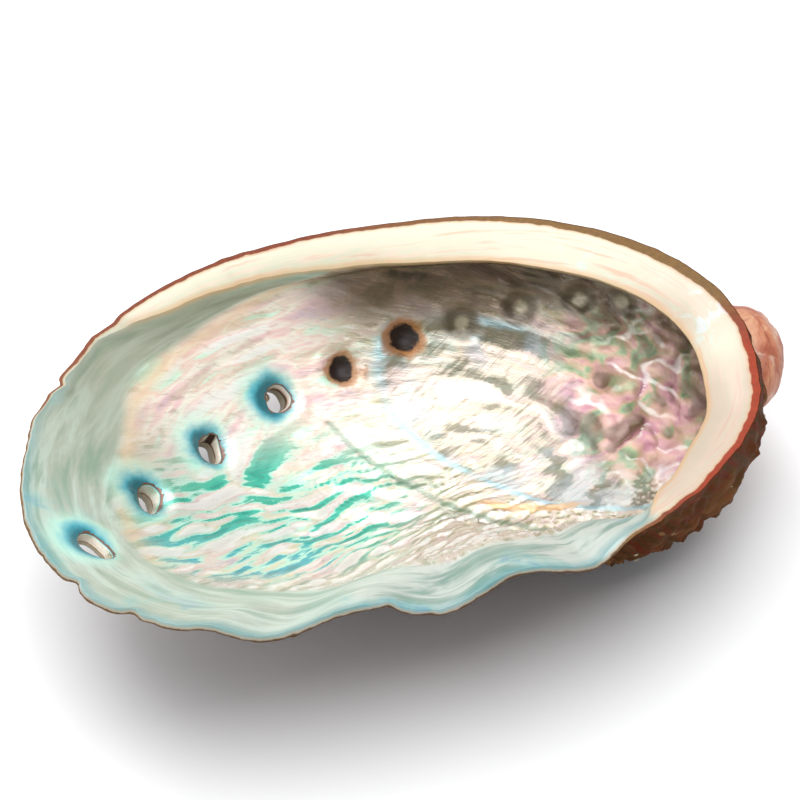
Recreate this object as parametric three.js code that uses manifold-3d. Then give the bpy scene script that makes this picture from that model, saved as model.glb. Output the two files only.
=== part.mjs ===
// Abalone shell lying on its back with the mouth up, with a slipper shell grown on its outside.
// Millimetres, +Z up, +X towards the spire end, +Y towards the inner lip with its shelf.
import * as THREE from 'three';
import { mergeVertices } from 'three/addons/utils/BufferGeometryUtils.js';
import manifoldModule from 'manifold-3d';

// ---- driving dimensions ----
const RIM_HEIGHT = 40;
const FLOOR = { x: 12, y: 3 }; // plan position of the lowest point, where all walls meet
const RIM_POINTS = [ // the mouth seen from above, anticlockwise from the spire end
  [80.5, -8], [78.6, 12], [67.5, 29.8], [48.6, 44.5], [25, 52.8], [0, 57], [-23, 56.2],
  [-44, 48.6], [-60.5, 36.6], [-73.4, 21.2], [-80.2, 3], [-80.2, -15], [-72.2, -31],
  [-56, -44], [-33, -51], [-10, -55], [13, -56.5], [34, -53], [54, -45], [71.5, -31],
];
// The wall round the shell, by bearing from the floor point in degrees: its slope at the rim
// (90 is upright), how far that slope reaches, the flat share of the floor, then the width of
// the inner shelf and its fall from the rim.
const STATIONS = [
  { bearing: 0, slope: 106, reach: 24, floor: 0.6, shelf: 10, fall: 4.5 },
  { bearing: 30, slope: 100, reach: 22, floor: 0.62, shelf: 10, fall: 4.5 },
  { bearing: 60, slope: 94, reach: 20, floor: 0.64, shelf: 8, fall: 5 },
  { bearing: 90, slope: 84, reach: 20, floor: 0.66, shelf: 6, fall: 5 },
  { bearing: 115, slope: 70, reach: 20, floor: 0.66, shelf: 5, fall: 4 },
  { bearing: 130, slope: 58, reach: 20, floor: 0.64, shelf: 4.5, fall: 3 },
  { bearing: 148, slope: 46, reach: 20, floor: 0.6, shelf: 0.5, fall: 1 },
  { bearing: 170, slope: 36, reach: 24, floor: 0.54, shelf: 0, fall: 0 },
  { bearing: 210, slope: 27, reach: 28, floor: 0.48, shelf: 0, fall: 0 },
  { bearing: 240, slope: 24, reach: 29, floor: 0.44, shelf: 0, fall: 0 },
  { bearing: 270, slope: 24, reach: 28, floor: 0.44, shelf: 0, fall: 0 },
  { bearing: 290, slope: 34, reach: 26, floor: 0.52, shelf: 1, fall: 1 },
  { bearing: 305, slope: 80, reach: 24, floor: 0.6, shelf: 6.5, fall: 2.5 },
  { bearing: 322, slope: 106, reach: 26, floor: 0.6, shelf: 9.5, fall: 3.5 },
  { bearing: 342, slope: 110, reach: 26, floor: 0.6, shelf: 10, fall: 4 },
];
const LIP_THICKNESS = 1.3;
const WALL_THICKNESS = 3.4;
const THICK_FROM = 0.35; // share of the wall by which the full thickness is reached
const SHELF_SHARE = 0.2; // share of the wall taken up by the underside of the shelf
const REST_WEAR = 0.9; // depth worn off the back, which leaves the flat patch it lies on
// Folds of the outer lip: they fade out at their ends, towards the side and down the wall.
const LIP_WAVE = { height: 1.4, span: 33, crest: -46, from: -68, to: 32, side: -36,
  endFade: 12, sideFade: 10, reach: 0.25 };
// Pores along the back, youngest first: place round the rim and down the wall as shares, radius
// of the hole, height of the mound outside, depth and radius of the dimple inside.
const PORES = [
  { round: 0.53, down: 0.172, hole: 2.8, mound: 1.4, dimple: 1, spread: 4.4 },
  { round: 0.468, down: 0.378, hole: 2.4, mound: 2.4, dimple: 2, spread: 4 },
  { round: 0.389, down: 0.507, hole: 2.3, mound: 2.6, dimple: 2.3, spread: 4 },
  { round: 0.303, down: 0.53, hole: 2.3, mound: 2.6, dimple: 2.3, spread: 4 },
  { round: 0.245, down: 0.51, hole: 0, mound: 2.6, dimple: 2.8, spread: 3.4 },
  { round: 0.201, down: 0.45, hole: 0, mound: 2.4, dimple: 3.2, spread: 3.6 },
  { round: 0.168, down: 0.418, hole: 0, mound: 2, dimple: 1.2, spread: 3.6 },
  { round: 0.137, down: 0.357, hole: 0, mound: 1.7, dimple: 1, spread: 3.4 },
  { round: 0.108, down: 0.29, hole: 0, mound: 1.4, dimple: 0.8, spread: 3.2 },
  { round: 0.085, down: 0.25, hole: 0, mound: 1.2, dimple: 0.6, spread: 3 },
];
const MOUND_SPREAD = 6.5;
const PORE_STRETCH = 1.25; // the holes are longer along the shell than across
// The spire's coil: a logarithmic spiral about its tip, smooth near the tip and near the rim.
const SPIRE = { x: 50, y: -27, height: 3, spread: 14, turns: 1.4, pitch: 0.32, ridge: 0.9,
  start: 4, core: 6, fromRim: 0.12, rimFade: 0.2 };
// The slipper shell: seat and half widths as shares round the rim and down the wall, height and
// skin in mm, how far its beak is drawn along and down, and the share of it that is hollow.
const SLIPPER = { round: 0.006, down: 0.185, along: 0.031, across: 0.135, height: 10.5, skin: 1.2,
  beak: 0.35, beakDrop: 0.5, hollow: 0.88 };
const JOIN_GAP = 0.5; // left between the slipper shell and its host
const REST_CLEAR = 6; // height above the rest patch at which the outer relief is whole
const BAND_DOME = 0.08; // rise of the rim's face, as a share of the shelf's width
const FLOOR_NORMAL = { from: 0.93, fade: 0.05, last: 0.985 }; // where the wall counts as level
const SMALL = 1e-6;

const MESH = { round: 96, outer: 17, band: 3, inner: 20, spacing: 1.35 };
const SLIPPER_MESH = { round: 32, outer: 9, inner: 6 };
const NORMAL_STEP = 1e-3; // shares between the points that a direction is taken from
const POINT_JOIN = 1e-5;
const POINT_SPAN = 0.01; // half the stretch of wall that sets a pore's long direction
// finishes of the two pieces
const NACRE = { color: 0xdfe6dc, roughness: 0.3 };
const DULL_PINK = { color: 0xb07a68, roughness: 0.6 };

const HOLE_SIDES = 14;
const HOLE_LENGTH = 24;

// ---- small helpers ----
const clamp = (x, low, high) => Math.min(high, Math.max(low, x));
const ease = (x) => { const c = clamp(x, 0, 1); return c * c * (3 - 2 * c); };
const bell = (distance, spread) => Math.exp(-((distance / spread) ** 2));
const mix = (a, b, s) => a + (b - a) * s;
const wrap = (x) => ((x % 1) + 1) % 1;

const rimCurve = new THREE.CatmullRomCurve3(
  RIM_POINTS.map(([x, y]) => new THREE.Vector3(x, y, 0)), true, 'catmullrom', 0.5);

/** Stations blended for one bearing in degrees. */
function stationAt(bearing) {
  let next = STATIONS.findIndex((s) => s.bearing > bearing);
  const last = next < 0 ? STATIONS.length - 1 : next - 1;
  next = next < 0 ? 0 : next;
  const a = STATIONS[last], b = STATIONS[next];
  const end = next === 0 ? b.bearing + 360 : b.bearing;
  const s = ease((bearing - a.bearing) / (end - a.bearing));
  const out = {};
  for (const key of ['slope', 'reach', 'floor', 'shelf', 'fall']) out[key] = mix(a[key], b[key], s);
  return out;
}

/** Rim point, its direction and distance from the floor point, and the blended station there. */
function ray(round) {
  const rim = rimCurve.getPoint(wrap(round));
  const dx = rim.x - FLOOR.x, dy = rim.y - FLOOR.y;
  const far = Math.hypot(dx, dy);
  const bearing = wrap(Math.atan2(dy, dx) / (2 * Math.PI)) * 360;
  return { rim, far, x: dx / far, y: dy / far, at: stationAt(bearing) };
}

/** Height of the lip's folds at a rim point: waves along the outer lip only. */
function lipWave(rim) {
  const side = ease((LIP_WAVE.side - rim.y) / LIP_WAVE.sideFade);
  const toEnd = ease((LIP_WAVE.to - rim.x) / LIP_WAVE.endFade);
  const toStart = ease((rim.x - LIP_WAVE.from) / LIP_WAVE.endFade);
  const fold = Math.cos((rim.x - LIP_WAVE.crest) / LIP_WAVE.span * 2 * Math.PI);
  return LIP_WAVE.height * side * (toEnd * toStart) * fold;
}

/** Wall before its relief: a cubic curve from the rim to the floor point. Its back is worn flat. */
function wallPoint(round, down, worn = true) {
  const { rim, far, x, y, at } = ray(round);
  const slope = THREE.MathUtils.degToRad(at.slope);
  const s = 1 - down;
  const fromRim = s ** 3, nearRim = 3 * s * s * down, nearFloor = 3 * s * down * down;
  const wave = lipWave(rim) * bell(down, LIP_WAVE.reach);
  const out = fromRim * far + nearRim * (far - at.reach * Math.cos(slope))
    + nearFloor * at.floor * far + wave;
  const high = fromRim * RIM_HEIGHT + nearRim * (RIM_HEIGHT - at.reach * Math.sin(slope)) - wave;
  const z = high - REST_WEAR * (1 - ease(high / RIM_HEIGHT));
  return new THREE.Vector3(FLOOR.x + x * out, FLOOR.y + y * out, worn ? Math.max(z, 0) : z);
}

/** Direction out of the wall, from the differences between neighbouring wall points. */
function wallNormal(round, down) {
  const step = NORMAL_STEP, held = clamp(down, step, FLOOR_NORMAL.last);
  const along = wallPoint(round + step, held).sub(wallPoint(round - step, held));
  const drop = wallPoint(round, held + step).sub(wallPoint(round, held - step));
  const level = ease((down - FLOOR_NORMAL.from) / FLOOR_NORMAL.fade);
  return drop.cross(along).normalize().lerp(new THREE.Vector3(0, 0, -1), level).normalize();
}

const poreSeats = PORES.map((pore) => wallPoint(pore.round, pore.down));

/** Low coil of the spire with the seam that winds out from its tip. */
function spireRelief(point, down) {
  const dx = point.x - SPIRE.x, dy = point.y - SPIRE.y;
  const far = Math.hypot(dx, dy) + SMALL;
  const turn = Math.atan2(dy, dx) / (2 * Math.PI);
  const coil = Math.cos(2 * Math.PI * (Math.log(far / SPIRE.start) / (2 * Math.PI * SPIRE.pitch) - turn));
  const near = ease((down - SPIRE.fromRim) / SPIRE.rimFade);
  return near * (SPIRE.height * bell(far, SPIRE.spread)
    + SPIRE.ridge * coil * ease(far / SPIRE.core) * bell(far, SPIRE.spread * SPIRE.turns));
}

/** Outside of the shell. */
function outerPoint(round, down) {
  const point = wallPoint(round, down);
  let rise = spireRelief(point, down);
  PORES.forEach((pore, k) => { rise += pore.mound * bell(point.distanceTo(poreSeats[k]), MOUND_SPREAD); });
  return point.addScaledVector(wallNormal(round, down), rise * ease(point.z / REST_CLEAR));
}

/** Inside of the shell: the wall offset by its thickness, drawn inward under the rim as a shelf. */
function innerPoint(round, down) {
  const { x, y, at } = ray(round);
  const point = wallPoint(round, down, false), normal = wallNormal(round, down);
  const thick = mix(LIP_THICKNESS, WALL_THICKNESS, ease(down / THICK_FROM));
  let deep = 0;
  PORES.forEach((pore, k) => { deep += pore.dimple * bell(point.distanceTo(poreSeats[k]), pore.spread); });
  const shelf = 1 - ease(down / SHELF_SHARE);
  point.addScaledVector(normal, deep - thick);
  return point.add(new THREE.Vector3(-x * at.shelf * shelf, -y * at.shelf * shelf, -at.fall * shelf));
}

/** Point across the rim, from the outer edge to the edge of the shelf, a little domed. */
function bandPoint(round, across) {
  const point = outerPoint(round, 0).lerp(innerPoint(round, 0), across);
  point.z += ray(round).at.shelf * BAND_DOME * Math.sin(Math.PI * across);
  return point;
}

/** Closed surface from a first point, through rings of equal count, to a last point. */
function closedSkin(first, rings, last) {
  const count = rings[0].length, points = [first, ...rings.flat(), last], index = [];
  const at = (ring, k) => 1 + ring * count + (k % count);
  for (let k = 0; k < count; k += 1) {
    index.push(0, at(0, k + 1), at(0, k));
    for (let ring = 0; ring + 1 < rings.length; ring += 1) {
      index.push(at(ring, k), at(ring, k + 1), at(ring + 1, k + 1));
      index.push(at(ring, k), at(ring + 1, k + 1), at(ring + 1, k));
    }
    index.push(at(rings.length - 1, k), at(rings.length - 1, k + 1), points.length - 1);
  }
  const geometry = new THREE.BufferGeometry();
  const numbers = points.flatMap((p) => [p.x, p.y, p.z]);
  geometry.setAttribute('position', new THREE.Float32BufferAttribute(numbers, 3));
  geometry.setIndex(index);
  return geometry;
}

const ringOf = (count, place) => Array.from({ length: count }, (_, k) => place(k / count));
const rowShare = (row, rows) => (row / rows) ** MESH.spacing;

/** The whole grown shell before its pores are cut through. */
function shellSkin() {
  const rings = [];
  for (let row = MESH.outer - 1; row >= 0; row -= 1) {
    rings.push(ringOf(MESH.round, (round) => outerPoint(round, rowShare(row, MESH.outer))));
  }
  for (let row = 1; row < MESH.band; row += 1) {
    rings.push(ringOf(MESH.round, (round) => bandPoint(round, row / MESH.band)));
  }
  for (let row = 0; row < MESH.inner; row += 1) {
    rings.push(ringOf(MESH.round, (round) => innerPoint(round, rowShare(row, MESH.inner))));
  }
  return closedSkin(outerPoint(0, 1), rings, innerPoint(0, 1));
}

/** Rod with an oval section that cuts one pore square through the wall. */
function poreRod(pore) {
  const rod = new THREE.CylinderGeometry(pore.hole, pore.hole, HOLE_LENGTH, HOLE_SIDES);
  const out = wallNormal(pore.round, pore.down);
  const along = wallPoint(pore.round + POINT_SPAN, pore.down)
    .sub(wallPoint(pore.round - POINT_SPAN, pore.down));
  const across = new THREE.Vector3().crossVectors(along, out).normalize();
  const straight = new THREE.Vector3().crossVectors(out, across).multiplyScalar(PORE_STRETCH);
  rod.applyMatrix4(new THREE.Matrix4().makeBasis(straight, out, across));
  const seat = wallPoint(pore.round, pore.down);
  return rod.translate(seat.x, seat.y, seat.z);
}

/** Manifold solid from a geometry; its corners are joined first. */
function toSolid(kernel, geometry) {
  const bare = geometry.clone();
  bare.deleteAttribute('normal');
  bare.deleteAttribute('uv');
  const joined = mergeVertices(bare, POINT_JOIN);
  const mesh = new kernel.Mesh({
    numProp: 3, vertProperties: Float32Array.from(joined.attributes.position.array),
    triVerts: Uint32Array.from(joined.index.array) });
  mesh.merge();
  return new kernel.Manifold(mesh);
}

/** Geometry from a manifold solid. */
function fromSolid(solid) {
  const mesh = solid.getMesh();
  const geometry = new THREE.BufferGeometry();
  geometry.setAttribute('position', new THREE.BufferAttribute(Float32Array.from(mesh.vertProperties), 3));
  geometry.setIndex(new THREE.BufferAttribute(Uint32Array.from(mesh.triVerts), 1));
  return geometry;
}

/** The abalone shell: one grown body with four open pores cut through it. */
function abaloneShell(kernel) {
  let solid = toSolid(kernel, shellSkin());
  for (const pore of PORES.filter((each) => each.hole > 0)) {
    solid = solid.subtract(toSolid(kernel, poreRod(pore)));
  }
  return fromSolid(solid);
}

/** Point on the slipper shell: an oval cap stood on its host's wall, its beak drawn to one end. */
function slipperPoint(turn, share, lift) {
  const angle = -turn * 2 * Math.PI;
  const beak = SLIPPER.beak * (1 - share);
  const round = SLIPPER.round + SLIPPER.along * (share * Math.cos(angle) + beak);
  const down = SLIPPER.down + SLIPPER.across * (share * Math.sin(angle) - beak * SLIPPER.beakDrop);
  return outerPoint(round, down).addScaledVector(wallNormal(round, down), lift);
}

/** The slipper shell: a hollow cap whose edge follows the wall it sits on. */
function slipperShell() {
  const { round: count, outer, inner } = SLIPPER_MESH;
  const dome = (share) => Math.sqrt(1 - share * share);
  const cavity = SLIPPER.height - SLIPPER.skin, rings = [];
  for (let row = inner - 1; row >= 1; row -= 1) {
    const share = Math.cos(row / inner * Math.PI / 2);
    const lift = JOIN_GAP + cavity * dome(share);
    rings.push(ringOf(count, (turn) => slipperPoint(turn, share * SLIPPER.hollow, lift)));
  }
  rings.push(ringOf(count, (turn) => slipperPoint(turn, SLIPPER.hollow, JOIN_GAP)));
  for (let row = 0; row < outer; row += 1) {
    const share = Math.cos(row / outer * Math.PI / 2);
    const lift = JOIN_GAP + SLIPPER.height * dome(share);
    rings.push(ringOf(count, (turn) => slipperPoint(turn, share, lift)));
  }
  const top = slipperPoint(0, 0, JOIN_GAP + SLIPPER.height);
  return closedSkin(slipperPoint(0, 0, JOIN_GAP + cavity), rings, top);
}

/** Named mesh with its own flat-shaded material. */
function piece(name, geometry, { color, roughness }) {
  const flat = geometry.toNonIndexed();
  flat.computeVertexNormals();
  const material = new THREE.MeshStandardMaterial({ color, roughness, metalness: 0 });
  material.name = name;
  const mesh = new THREE.Mesh(flat, material);
  mesh.name = name;
  return mesh;
}

/** Moves all pieces so that the middle of the underside of their common box is the origin. */
function centre(group) {
  const box = new THREE.Box3().setFromObject(group);
  const middle = box.getCenter(new THREE.Vector3());
  for (const mesh of group.children) mesh.geometry.translate(-middle.x, -middle.y, -box.min.z);
}

const kernel = await manifoldModule();
kernel.setup();

const model = new THREE.Group();
model.name = 'abalone_shell_set';
model.add(piece('abalone_shell', abaloneShell(kernel), NACRE));
model.add(piece('slipper_shell', slipperShell(), DULL_PINK));
centre(model);

export default model;
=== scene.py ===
"""Abalone shell lying on its back, mouth up, with a slipper shell grown on its spire end."""
import logging
import math
from dataclasses import dataclass
from enum import Enum

import bpy
import numpy as np
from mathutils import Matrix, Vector


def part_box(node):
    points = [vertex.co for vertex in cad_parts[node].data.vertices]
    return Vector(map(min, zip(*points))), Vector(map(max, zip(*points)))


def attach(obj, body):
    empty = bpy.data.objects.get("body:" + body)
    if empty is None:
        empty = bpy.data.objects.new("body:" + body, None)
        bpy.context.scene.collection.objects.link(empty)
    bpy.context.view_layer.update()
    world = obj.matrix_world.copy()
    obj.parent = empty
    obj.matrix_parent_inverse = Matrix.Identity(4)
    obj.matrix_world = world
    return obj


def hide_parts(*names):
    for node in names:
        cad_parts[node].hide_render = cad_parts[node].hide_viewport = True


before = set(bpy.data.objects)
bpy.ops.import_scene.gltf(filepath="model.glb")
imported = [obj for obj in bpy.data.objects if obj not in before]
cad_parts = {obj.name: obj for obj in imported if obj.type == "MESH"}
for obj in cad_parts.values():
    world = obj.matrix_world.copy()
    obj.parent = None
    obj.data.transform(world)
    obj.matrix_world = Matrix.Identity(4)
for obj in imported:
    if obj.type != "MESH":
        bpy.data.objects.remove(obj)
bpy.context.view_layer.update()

MM = 0.001
log = logging.getLogger("abalone")
Array = np.ndarray


# ---------------------------------------------------------------- number work
def ease(x: Array) -> Array:
    """Smooth step from 0 to 1 over 0..1."""
    c = np.clip(x, 0.0, 1.0)
    return c * c * (3.0 - 2.0 * c)


def between(x: Array, start: float, rise: float, end: float, fall: float) -> Array:
    """1 between start and end: eased up over the rise past start, down over the fall before end."""
    return ease((x - start) / rise) * ease((end - x) / fall)


def bell(distance: Array, spread: float) -> Array:
    """Bell curve: 1 at no distance, falling over the spread."""
    return np.exp(-((distance / spread) ** 2))


def turned_from(bearing: Array, middle: float) -> Array:
    """Degrees from a bearing, -180..180."""
    return (bearing - middle + 180.0) % 360.0 - 180.0


def round_table(bearing: Array, table: dict[float, float]) -> Array:
    """Values given at bearings in degrees, joined by straight lines right round the circle."""
    keys = sorted(table)
    return np.interp(bearing, keys, [table[k] for k in keys], period=360.0)


def columns_of(*parts: Array) -> Array:
    """Coordinates side by side, each spread to the shape that they have together."""
    return np.stack(np.broadcast_arrays(*parts), -1)


def lattice(cell: Array, seed: int) -> Array:
    """Repeatable random value in -1..1 for whole-number cells.

    Args:
        cell: whole numbers, three to a row.
        seed: changes every value.

    Returns:
        One value a row, from an integer hash.
    """
    n = cell.astype(np.int64).astype(np.uint64)
    low_bits = np.uint64(0xFFFFFFFF)
    x, y, z = (n[..., k] * np.uint64(prime) for k, prime in enumerate((73856093, 19349663, 83492791)))
    mixed = ((x ^ y ^ z) + np.uint64(seed * 2654435761 & 0xFFFFFFFF)) & low_bits
    for shift, factor in ((16, 2246822519), (13, 3266489917), (16, 668265263)):
        mixed = ((mixed ^ (mixed >> np.uint64(shift))) * np.uint64(factor)) & low_bits
    return mixed.astype(np.float64) / 2147483647.5 - 1.0


def noise(points: Array, seed: int, octaves: int = 1) -> Array:
    """Smooth random field in about -1..1: lattice values eased between the cells' corners.

    Args:
        points: coordinates with two or three columns, one cell across per unit.
        seed: picks the field.
        octaves: how many ever finer fields are added, each at half the height.

    Returns:
        The field at each point.
    """
    if points.shape[-1] == 2:
        points = np.concatenate([points, np.zeros_like(points[..., :1])], -1)
    total, height, reach = np.zeros(points.shape[:-1]), 1.0, 0.0
    for octave in range(octaves):
        q = points * 2.0**octave + 17.3 * octave
        base = np.floor(q)
        f = ease(q - base)
        for corner in range(8):
            bits = np.array([(corner >> k) & 1 for k in range(3)])
            weight = np.prod(np.where(bits == 1, f, 1.0 - f), axis=-1)
            total += height * weight * lattice(base + bits, seed + octave)
        reach += height
        height *= 0.5
    return total / reach


def ridged(points: Array, seed: int, octaves: int = 1) -> Array:
    """Random field with sharp crests up to 1: one less twice the size of the smooth field."""
    return 1.0 - np.abs(noise(points, seed, octaves)) * 2.0


def height_and_slope(points: Array, step: tuple[float, ...], seed: int, gain: float) -> tuple[Array, Array]:
    """Smooth random field, and its rise over a short step times the gain."""
    here = noise(points, seed, 2)
    return here, (noise(points + np.array(step), seed, 2) - here) * gain


# ---------------------------------------------------------------- the grown form
class PoreState(Enum):
    """How far a pore along the back has closed."""

    OPEN = "open"
    BLIND = "blind"
    HEALED = "healed"


@dataclass(frozen=True)
class Pore:
    """One pore: its place as shares round the rim and down the wall, and its relief in mm."""

    round: float
    down: float
    state: PoreState
    hole: float
    mound: float
    dimple: float
    spread: float


PORES = (
    Pore(0.530, 0.172, PoreState.OPEN, 2.8, 1.4, 1.0, 4.4),
    Pore(0.468, 0.378, PoreState.OPEN, 2.4, 2.4, 2.0, 4.0),
    Pore(0.389, 0.507, PoreState.OPEN, 2.3, 2.6, 2.3, 4.0),
    Pore(0.303, 0.530, PoreState.OPEN, 2.3, 2.6, 2.3, 4.0),
    Pore(0.245, 0.510, PoreState.BLIND, 0.0, 2.6, 2.8, 3.4),
    Pore(0.201, 0.450, PoreState.BLIND, 0.0, 2.4, 3.2, 3.6),
    Pore(0.168, 0.418, PoreState.HEALED, 0.0, 2.0, 1.2, 3.6),
    Pore(0.137, 0.357, PoreState.HEALED, 0.0, 1.7, 1.0, 3.4),
    Pore(0.108, 0.290, PoreState.HEALED, 0.0, 1.4, 0.8, 3.2),
    Pore(0.085, 0.250, PoreState.HEALED, 0.0, 1.2, 0.6, 3.0),
)
OPEN_PORES = tuple(pore for pore in PORES if pore.state is PoreState.OPEN)


@dataclass(frozen=True)
class Wall:
    """The wall's large shape in mm, before any relief. Bearings are degrees about the floor point."""

    height: float = 40.0
    floor: tuple[float, float] = (12.0, 3.0)
    rim: tuple[tuple[float, float], ...] = (
        (80.5, -8), (78.6, 12), (67.5, 29.8), (48.6, 44.5), (25, 52.8), (0, 57), (-23, 56.2),
        (-44, 48.6), (-60.5, 36.6), (-73.4, 21.2), (-80.2, 3), (-80.2, -15), (-72.2, -31),
        (-56, -44), (-33, -51), (-10, -55), (13, -56.5), (34, -53), (54, -45), (71.5, -31))
    # bearing, slope at the rim, reach of that slope, flat share of the floor, shelf width, fall
    stations: tuple[tuple[float, ...], ...] = (
        (0, 106, 24, 0.60, 10, 4.5), (30, 100, 22, 0.62, 10, 4.5), (60, 94, 20, 0.64, 8, 5),
        (90, 84, 20, 0.66, 6, 5), (115, 70, 20, 0.66, 5, 4), (130, 58, 20, 0.64, 4.5, 3),
        (148, 46, 20, 0.60, 0.5, 1), (170, 36, 24, 0.54, 0, 0), (210, 27, 28, 0.48, 0, 0),
        (240, 24, 29, 0.44, 0, 0), (270, 24, 28, 0.44, 0, 0), (290, 34, 26, 0.52, 1, 1),
        (305, 80, 24, 0.60, 6.5, 2.5), (322, 106, 26, 0.60, 9.5, 3.5), (342, 110, 26, 0.60, 10, 4))
    lip: float = 1.3
    body: float = 3.4
    thick_from: float = 0.35
    shelf_share: float = 0.20
    wear: float = 0.9
    # waves of the outer lip: height, length, where one crests, how far down and where they run
    wave: float = 1.4
    wave_span: float = 33.0
    wave_crest: float = -46.0
    wave_down: float = 0.25
    wave_side: float = -36.0
    wave_ends: tuple[float, float] = (-68.0, 32.0)
    level_from: float = 0.93

    def rim_at(self, round_: Array) -> Array:
        """Closed smooth curve (Catmull-Rom) through the rim points, for shares 0..1 round it."""
        knots = np.array(self.rim, float)
        x = (round_ % 1.0) * len(knots)
        whole = np.floor(x).astype(int)
        t = (x - whole)[..., None]
        a, b, c, d = (knots[(whole + k) % len(knots)] for k in (-1, 0, 1, 2))
        return 0.5 * (2 * b + (c - a) * t + (2 * a - 5 * b + 4 * c - d) * t**2
                      + (3 * b - a - 3 * c + d) * t**3)

    def ray(self, round_: Array) -> tuple[Array, Array, Array, Array]:
        """Rim point, direction and distance from the floor point, and bearing in degrees."""
        rim = self.rim_at(round_)
        away = rim - np.array(self.floor)
        far = np.hypot(away[..., 0], away[..., 1])
        bearing = np.degrees(np.arctan2(away[..., 1], away[..., 0])) % 360.0
        return rim, away / far[..., None], far, bearing

    def station(self, bearing: Array) -> Array:
        """Slope, reach, floor share, shelf width and fall, eased from station to station."""
        rows = np.array(self.stations, float)
        keys = np.append(rows[:, 0], rows[0, 0] + 360.0)
        rows = np.vstack([rows, rows[:1]])[:, 1:]
        k = np.clip(np.searchsorted(keys, bearing, side="right") - 1, 0, len(keys) - 2)
        s = ease((bearing - keys[k]) / (keys[k + 1] - keys[k]))[..., None]
        return np.moveaxis(rows[k] * (1 - s) + rows[k + 1] * s, -1, 0)

    def waves(self, x: Array, y: Array, down: Array) -> Array:
        """Waves of the outer lip: a cosine along x that fades down the wall and at both ends."""
        side_fade, end_fade = 10, 12
        start, end = self.wave_ends
        where = ease((self.wave_side - y) / side_fade) * between(x, start, end_fade, end, end_fade)
        turn = (x - self.wave_crest) / self.wave_span * 2 * np.pi
        return self.wave * where * bell(down, self.wave_down) * np.cos(turn)

    def surface(self, round_: Array, down: Array, worn: bool = True) -> Array:
        """Point on the wall.

        The profile is a cubic curve from the rim to the floor point: it leaves the rim at the
        station's slope and comes in level on the floor. Waves of the outer lip are added near it.

        Args:
            round_: share of the way round the rim.
            down: share of the way from the rim to the floor point.
            worn: whether the back is worn flat where it rests.

        Returns:
            Points in mm.
        """
        round_, down = np.broadcast_arrays(round_, down)
        rim, way, far, bearing = self.ray(round_)
        slope, reach, floor, _, _ = self.station(bearing)
        slope = np.radians(slope)
        s = 1.0 - down
        from_rim, near_rim, near_floor = s**3, 3 * s * s * down, 3 * s * down * down
        wave = self.waves(rim[..., 0], rim[..., 1], down)
        out = from_rim * far + near_rim * (far - reach * np.cos(slope)) + near_floor * floor * far + wave
        high = from_rim * self.height + near_rim * (self.height - reach * np.sin(slope)) - wave
        z = high - self.wear * (1 - ease(high / self.height))
        z = np.maximum(z, 0.0) if worn else z
        return np.stack([self.floor[0] + way[..., 0] * out, self.floor[1] + way[..., 1] * out, z], -1)

    def normal(self, round_: Array, down: Array) -> Array:
        """Direction out of the wall, from neighbouring points; straight down at the floor point."""
        step, last, level_over = 1e-3, 0.985, 0.05
        down = np.clip(down, step, last)
        along = self.surface(round_ + step, down) - self.surface(round_ - step, down)
        drop = self.surface(round_, down + step) - self.surface(round_, down - step)
        out = np.cross(drop, along)
        out /= np.linalg.norm(out, axis=-1, keepdims=True)
        level = ease((down - self.level_from) / level_over)[..., None]
        out = out * (1 - level) + np.array([0.0, 0.0, -1.0]) * level
        return out / np.linalg.norm(out, axis=-1, keepdims=True)

    def unrolled(self, round_: Array, down: Array) -> Array:
        """The wall laid flat: direction from the floor point times the length along the profile."""
        steps = np.linspace(0.0, 1.0, 65)
        _, way, _, _ = self.ray(round_)
        profile = self.surface(round_[..., None], 1.0 - steps, worn=False)
        length = np.cumsum(np.linalg.norm(np.diff(profile, axis=-2), axis=-1), axis=-1)
        length = np.concatenate([np.zeros_like(length[..., :1]), length], -1)
        place = (1.0 - down) * (len(steps) - 1)
        low = np.clip(np.floor(place).astype(int), 0, len(steps) - 2)
        part = place - low
        at_low = np.take_along_axis(length, low[..., None], -1)[..., 0]
        at_high = np.take_along_axis(length, low[..., None] + 1, -1)[..., 0]
        s = at_low * (1 - part) + at_high * part
        return np.array(self.floor) + way * s[..., None]


WALL = Wall()


# ---------------------------------------------------------------- growth pattern
@dataclass(frozen=True)
class Growth:
    """Coordinates that follow the shell's growth, on the wall laid flat.

    About the tip of the spire every growth line is a spiral. With r the distance from the tip and
    a the angle round it, `age` is log(r) cos(lean) + a sin(lean) and `cord` is a cos(lean) minus
    log(r) sin(lean). Both together are a turned copy of (log r, a), so patterns on them keep
    their proportions and grow with the distance from the tip, as they do on the real thing.
    """

    tip: tuple[float, float]
    lean: float = 37.0
    # the cut of the angle runs from the tip straight to the nearest rim, under the shelf
    cut: float = 28.0

    @staticmethod
    def from_tip(wall: Wall, round_: float, down: float) -> "Growth":
        """Coordinates whose tip lies at these shares of the wall."""
        return Growth(tuple(wall.unrolled(np.array([[round_]]), np.array([[down]]))[0, 0]))

    def at(self, flat: Array) -> tuple[Array, Array, Array]:
        """Age, cord and distance from the tip, for points of the unrolled wall."""
        away = flat - np.array(self.tip)
        far = np.hypot(away[..., 0], away[..., 1]) + 0.5
        angle = (np.arctan2(away[..., 1], away[..., 0]) + math.radians(self.cut)) % (2 * np.pi)
        lean = math.radians(self.lean)
        log_far = np.log(far)
        return (log_far * math.cos(lean) + angle * math.sin(lean),
                angle * math.cos(lean) - log_far * math.sin(lean), far)


@dataclass
class Skin:
    """Points of one stretch of the surface and the values its finish reads."""

    points: Array
    values: dict[str, Array]

    def value(self, name: str) -> Array:
        """One value on every point, as a column; 0 where the stretch doesn't have it."""
        return np.broadcast_to(self.values.get(name, 0.0), self.points.shape[:2])[..., None]


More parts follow.
